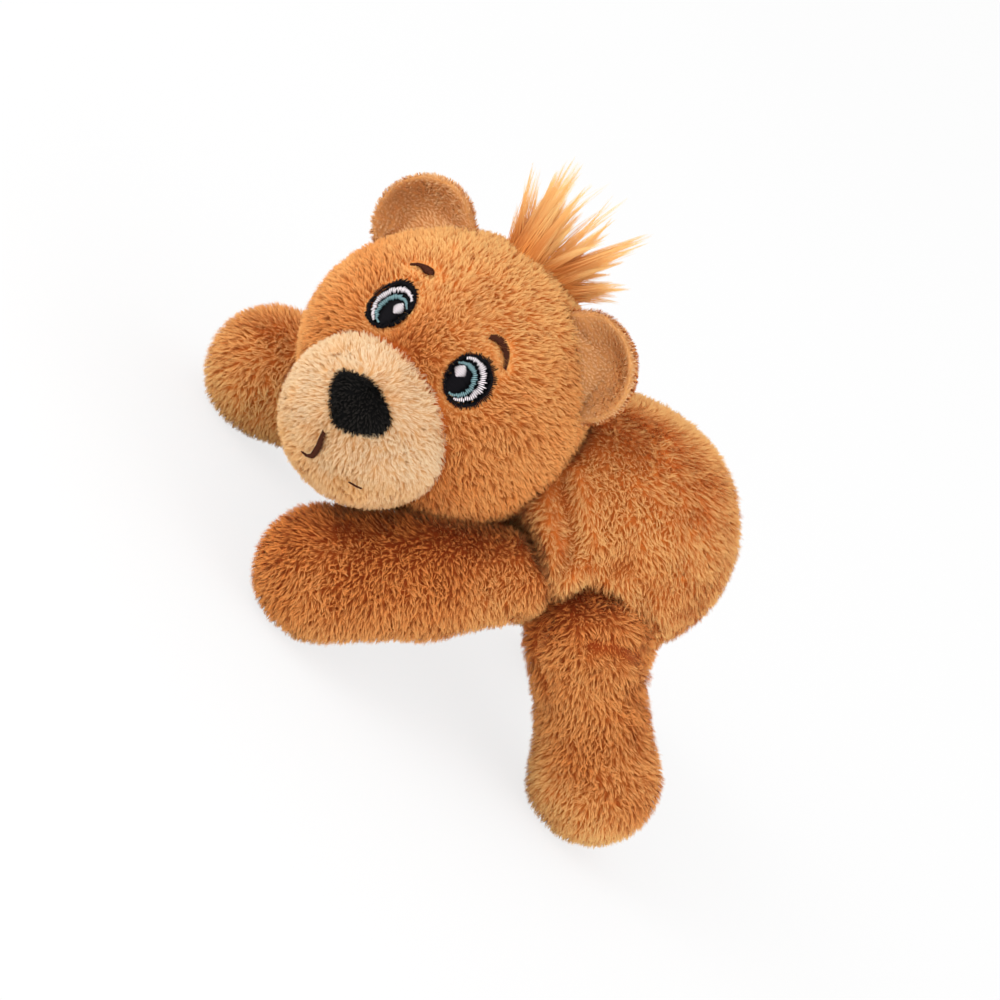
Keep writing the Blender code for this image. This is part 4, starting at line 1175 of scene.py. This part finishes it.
def dress_eye(label, side, seed):
    """Satin stitches on a dark oval: an outline, a white and a teal crescent, the pupil and its spark."""
    rng = np.random.default_rng(seed)
    place, name, half = EYE_PLACE[side], "eye_" + label, np.array(EYE_HALF)

    def oval(turn):
        return half[0] * GROUND_SHARE * np.cos(turn), half[1] * GROUND_SHARE * np.sin(turn)

    def cloth(spots):
        return unit(spots) * (HEAD_RADIUS - GROUND_SINK)

    middle = patch(place)[0]
    grid = lens_grid(oval, middle, unit(middle), cloth, GROUND_LOW, GROUND_HIGH, rows=10, columns=48)
    grid = from_head(grid)
    uvs = np.stack([0.4 + 0.3 * noise(grid, 0.4, 16), 0.1 + 0.2 * noise(grid, 0.3, 17)], axis=-1)
    points, faces, all_uvs, _ = closed_grid(grid, grid_normals(grid), uvs)
    base = mesh_object(name + "_ground", points, faces, all_uvs, None, THREADS["black"])
    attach(base, "head")
    black = (
        ring_stitches((0.0, 0.0), half * 0.93, 0, 360, 96, 0.9, side, rng, 0.3),
        ring_stitches((0.0, 0.0), half * 0.97, 150, -105, 72, 1.6, side, rng, 0.35),
        rows_stitches((-1.5, -1.1), (2.1, 2.7), (0.2, 1.0), 26, side, rng),
    )
    white = ring_stitches((-0.9, -0.2), (3.5, 4.0), 118, -80, 36, 1.35, side, rng, 0.22)
    teal = ring_stitches((-1.6, -0.7), (2.75, 3.1), 128, -90, 32, 1.0, side, rng, 0.25)
    spark = rows_stitches((-2.2, 0.6), (1.15, 1.1), (0.1, 1.0), 7, side, rng)
    for part, pairs, lift, radius, colour in (
        ("_black", black, -0.38, 0.13, "black"),
        ("_white", [white], -0.25, 0.14, "white"),
        ("_iris", [teal], -0.22, 0.14, "teal"),
        ("_glint", [spark], -0.1, 0.15, "white"),
    ):
        stitches(name + part, place, pairs, lift, 0.22, radius, colour, seed)


def line_stitches(path, widths, count):
    """Short stitches across a curved line."""
    share = np.linspace(0.0, 1.0, count)
    spots = at_share(path, share)
    heading = unit(np.gradient(spots, axis=0))
    across = np.stack([-heading[:, 1], heading[:, 0]], axis=1)
    wide = np.interp(share, np.linspace(0.0, 1.0, len(widths)), widths)[:, None]
    lead = 0.25 * heading
    return spots - across * wide - lead, spots + across * wide + lead


def dress_brow(label, side, seed):
    place = (side * BROW_PLACE[0], BROW_PLACE[1])
    stitches("brow_" + label, place, [line_stitches(*BROWS[side], 30)], -0.2, 0.3, 0.14, "brown", seed)


def dress_mouth():
    """A line from the nose down to a small hook, and one more stitch where the smile ends at the cheek."""
    hook = line_stitches(MOUTH_HOOK, (0.5, 0.65, 0.7, 0.65, 0.5, 0.3, 0.15), 46)
    smile = line_stitches(MOUTH_END, (0.12, 0.22, 0.12), 12)
    stitches("mouth", MOUTH_PLACE, [hook, smile], 0.5, 0.3, 0.12, "brown", 50, surface=on_muzzle)


# Palm magnets keep their solids


def grain(tree, scale, detail):
    where = add_node(tree, "TexCoord")
    node = add_node(tree, "TexNoise", {"Scale": scale, "Detail": detail, "Vector": where.outputs["Object"]})
    return node.outputs["Fac"]


def ramp(tree, source, low, dark, high, light):
    """Colour from one value at low to another at high."""
    node = add_node(tree, "ValToRGB", {"Fac": source})
    for element, position, colour in zip(node.color_ramp.elements, (low, high), (dark, light)):
        element.position = position
        element.color = (*colour, 1.0)
    return node.outputs["Color"]


def magnet_finish():
    made, tree, shader = new_material("brushed_nickel", 0.3, Metallic=1.0)
    grains = grain(tree, 2500.0, 4.0)
    colour = ramp(tree, grains, 0.3, (0.52, 0.50, 0.46), 0.7, (0.70, 0.68, 0.64))
    rough = ramp(tree, grains, 0.2, (0.22, 0.22, 0.22), 0.8, (0.42, 0.42, 0.42))
    give(tree, shader, {"Base Color": colour, "Roughness": rough})
    return made


def pouch_finish():
    made, tree, shader = new_material("pouch_weave", 0.95)
    grains = grain(tree, 3500.0, 6.0)
    colour = ramp(tree, grains, 0.3, (0.58, 0.56, 0.51), 0.7, (0.76, 0.74, 0.69))
    bump = add_node(tree, "Bump", {"Strength": 0.4, "Distance": 0.0001, "Height": grains})
    give(tree, shader, {"Base Color": colour, "Normal": bump.outputs["Normal"]})
    return made


def dress_magnets():
    nickel, cloth = magnet_finish(), pouch_finish()
    for name in LIMBS:
        for part, finish in (("_magnet", nickel), ("_pouch", cloth)):
            for slot in frame["nodes"][name + part].material_slots:
                slot.material = finish


# Floor, light and camera

FLOOR_SIZE, FLOOR_GLOW = 4.0, 0.78


def plain_floor():
    """A pale floor, which glows a little where the camera sees it."""
    size = FLOOR_SIZE
    corners = [(-size, -size, 0.0), (size, -size, 0.0), (size, size, 0.0), (-size, size, 0.0)]
    mesh = bpy.data.meshes.new("floor")
    mesh.from_pydata(corners, [], [(0, 1, 2, 3)])
    made, tree, shader = new_material("pale_floor", 0.9)
    colour = ramp(tree, grain(tree, 3.0, 2.0), 0.2, (0.86, 0.86, 0.86), 0.8, (0.90, 0.90, 0.90))
    give(tree, shader, {"Base Color": colour})
    path = add_node(tree, "LightPath").outputs
    seen = add_node(tree, "Math", {0: path["Is Camera Ray"], 1: path["Is Glossy Ray"]}, operation="MAXIMUM")
    share = add_node(tree, "Math", {0: seen.outputs["Value"], 1: FLOOR_GLOW}, operation="MULTIPLY")
    glow = add_node(tree, "Emission").outputs["Emission"]
    mix = add_node(tree, "MixShader", {0: share.outputs["Value"], 1: shader.outputs["BSDF"], 2: glow})
    give(tree, tree.nodes["Material Output"], {"Surface": mix.outputs["Shader"]})
    mesh.materials.append(made)
    placed("floor", mesh)


CAMERA = {"azimuth": 70.0, "elevation": 22.0, "roll": 45.4, "distance": 1060.0, "lens": 206.06}
CAMERA_AIM, LAMP_AIM = (0.0, 0.0, 33.0), (0.0, 0.0, 35.0)


def view_axes():
    """Right, up and back of the camera."""
    a, e, r = (radians(CAMERA[key]) for key in ("azimuth", "elevation", "roll"))
    back = np.array((sin(a) * cos(e), -cos(a) * cos(e), sin(e)))
    right = np.array((cos(a), sin(a), 0.0))
    up = np.cross(back, right)
    return right * cos(r) + up * sin(r), up * cos(r) - right * sin(r), back


def place_camera():
    right, up, back = view_axes()
    target = np.array(CAMERA_AIM) + SHIFT
    data = bpy.data.cameras.new("view")
    data.lens = CAMERA["lens"]
    data.sensor_width = 36.0
    data.clip_start, data.clip_end = 0.05, 20.0
    camera = placed("view", data)
    place = (target + back * CAMERA["distance"]) * MM
    turned = Matrix(np.stack([right, up, back], axis=1)).to_4x4()
    camera.matrix_world = Matrix.Translation(Vector(place)) @ turned
    bpy.context.scene.camera = camera


def soft_light(name, direction, distance, size, power):
    """Square lamp aimed at the bear, from a direction in the camera's right, up and back."""
    axes = np.stack(view_axes(), axis=1)
    aim = unit(axes @ np.asarray(direction, float))
    data = bpy.data.lights.new(name, "AREA")
    data.size, data.energy = size, power
    lamp = placed(name, data)
    lamp.location = Vector(aim * distance + (SHIFT + LAMP_AIM) * MM)
    lamp.rotation_euler = Vector(aim).to_track_quat("Z", "Y").to_euler()


def light_studio():
    world = bpy.data.worlds.new("studio")
    bpy.context.scene.world = world
    world.use_nodes = True
    shade = world.node_tree.nodes["Background"]
    shade.inputs["Color"].default_value = (1.0, 1.0, 1.0, 1.0)
    shade.inputs["Strength"].default_value = 0.9
    soft_light("key", (-0.3, 0.8, 0.5), 0.9, 0.7, 3.4)
    soft_light("fill", (0.75, -0.5, 0.65), 1.1, 0.9, 3.2)
    bpy.context.scene.view_settings.view_transform = "Standard"


def clear_startup():
    kept = set(frame["nodes"].values()) | set(frame["bodies"].values())
    for old in list(bpy.data.objects):
        if old not in kept:
            bpy.data.objects.remove(old, do_unlink=True)


clear_startup()
dress_body()
for number, limb_name in enumerate(LIMBS):
    dress_limb(limb_name, 2 + number)
dress_head()
dress_muzzle()
dress_nose()
dress_tuft()
dress_mouth()
for eye_side, eye_label in ((1.0, "left"), (-1.0, "right")):
    dress_ear(eye_label, 60 + int(eye_side) * 3)
    dress_eye(eye_label, eye_side, 70 + int(eye_side) * 5)
    dress_brow(eye_label, eye_side, 80 + int(eye_side))
dress_magnets()
plain_floor()
place_camera()
light_studio()
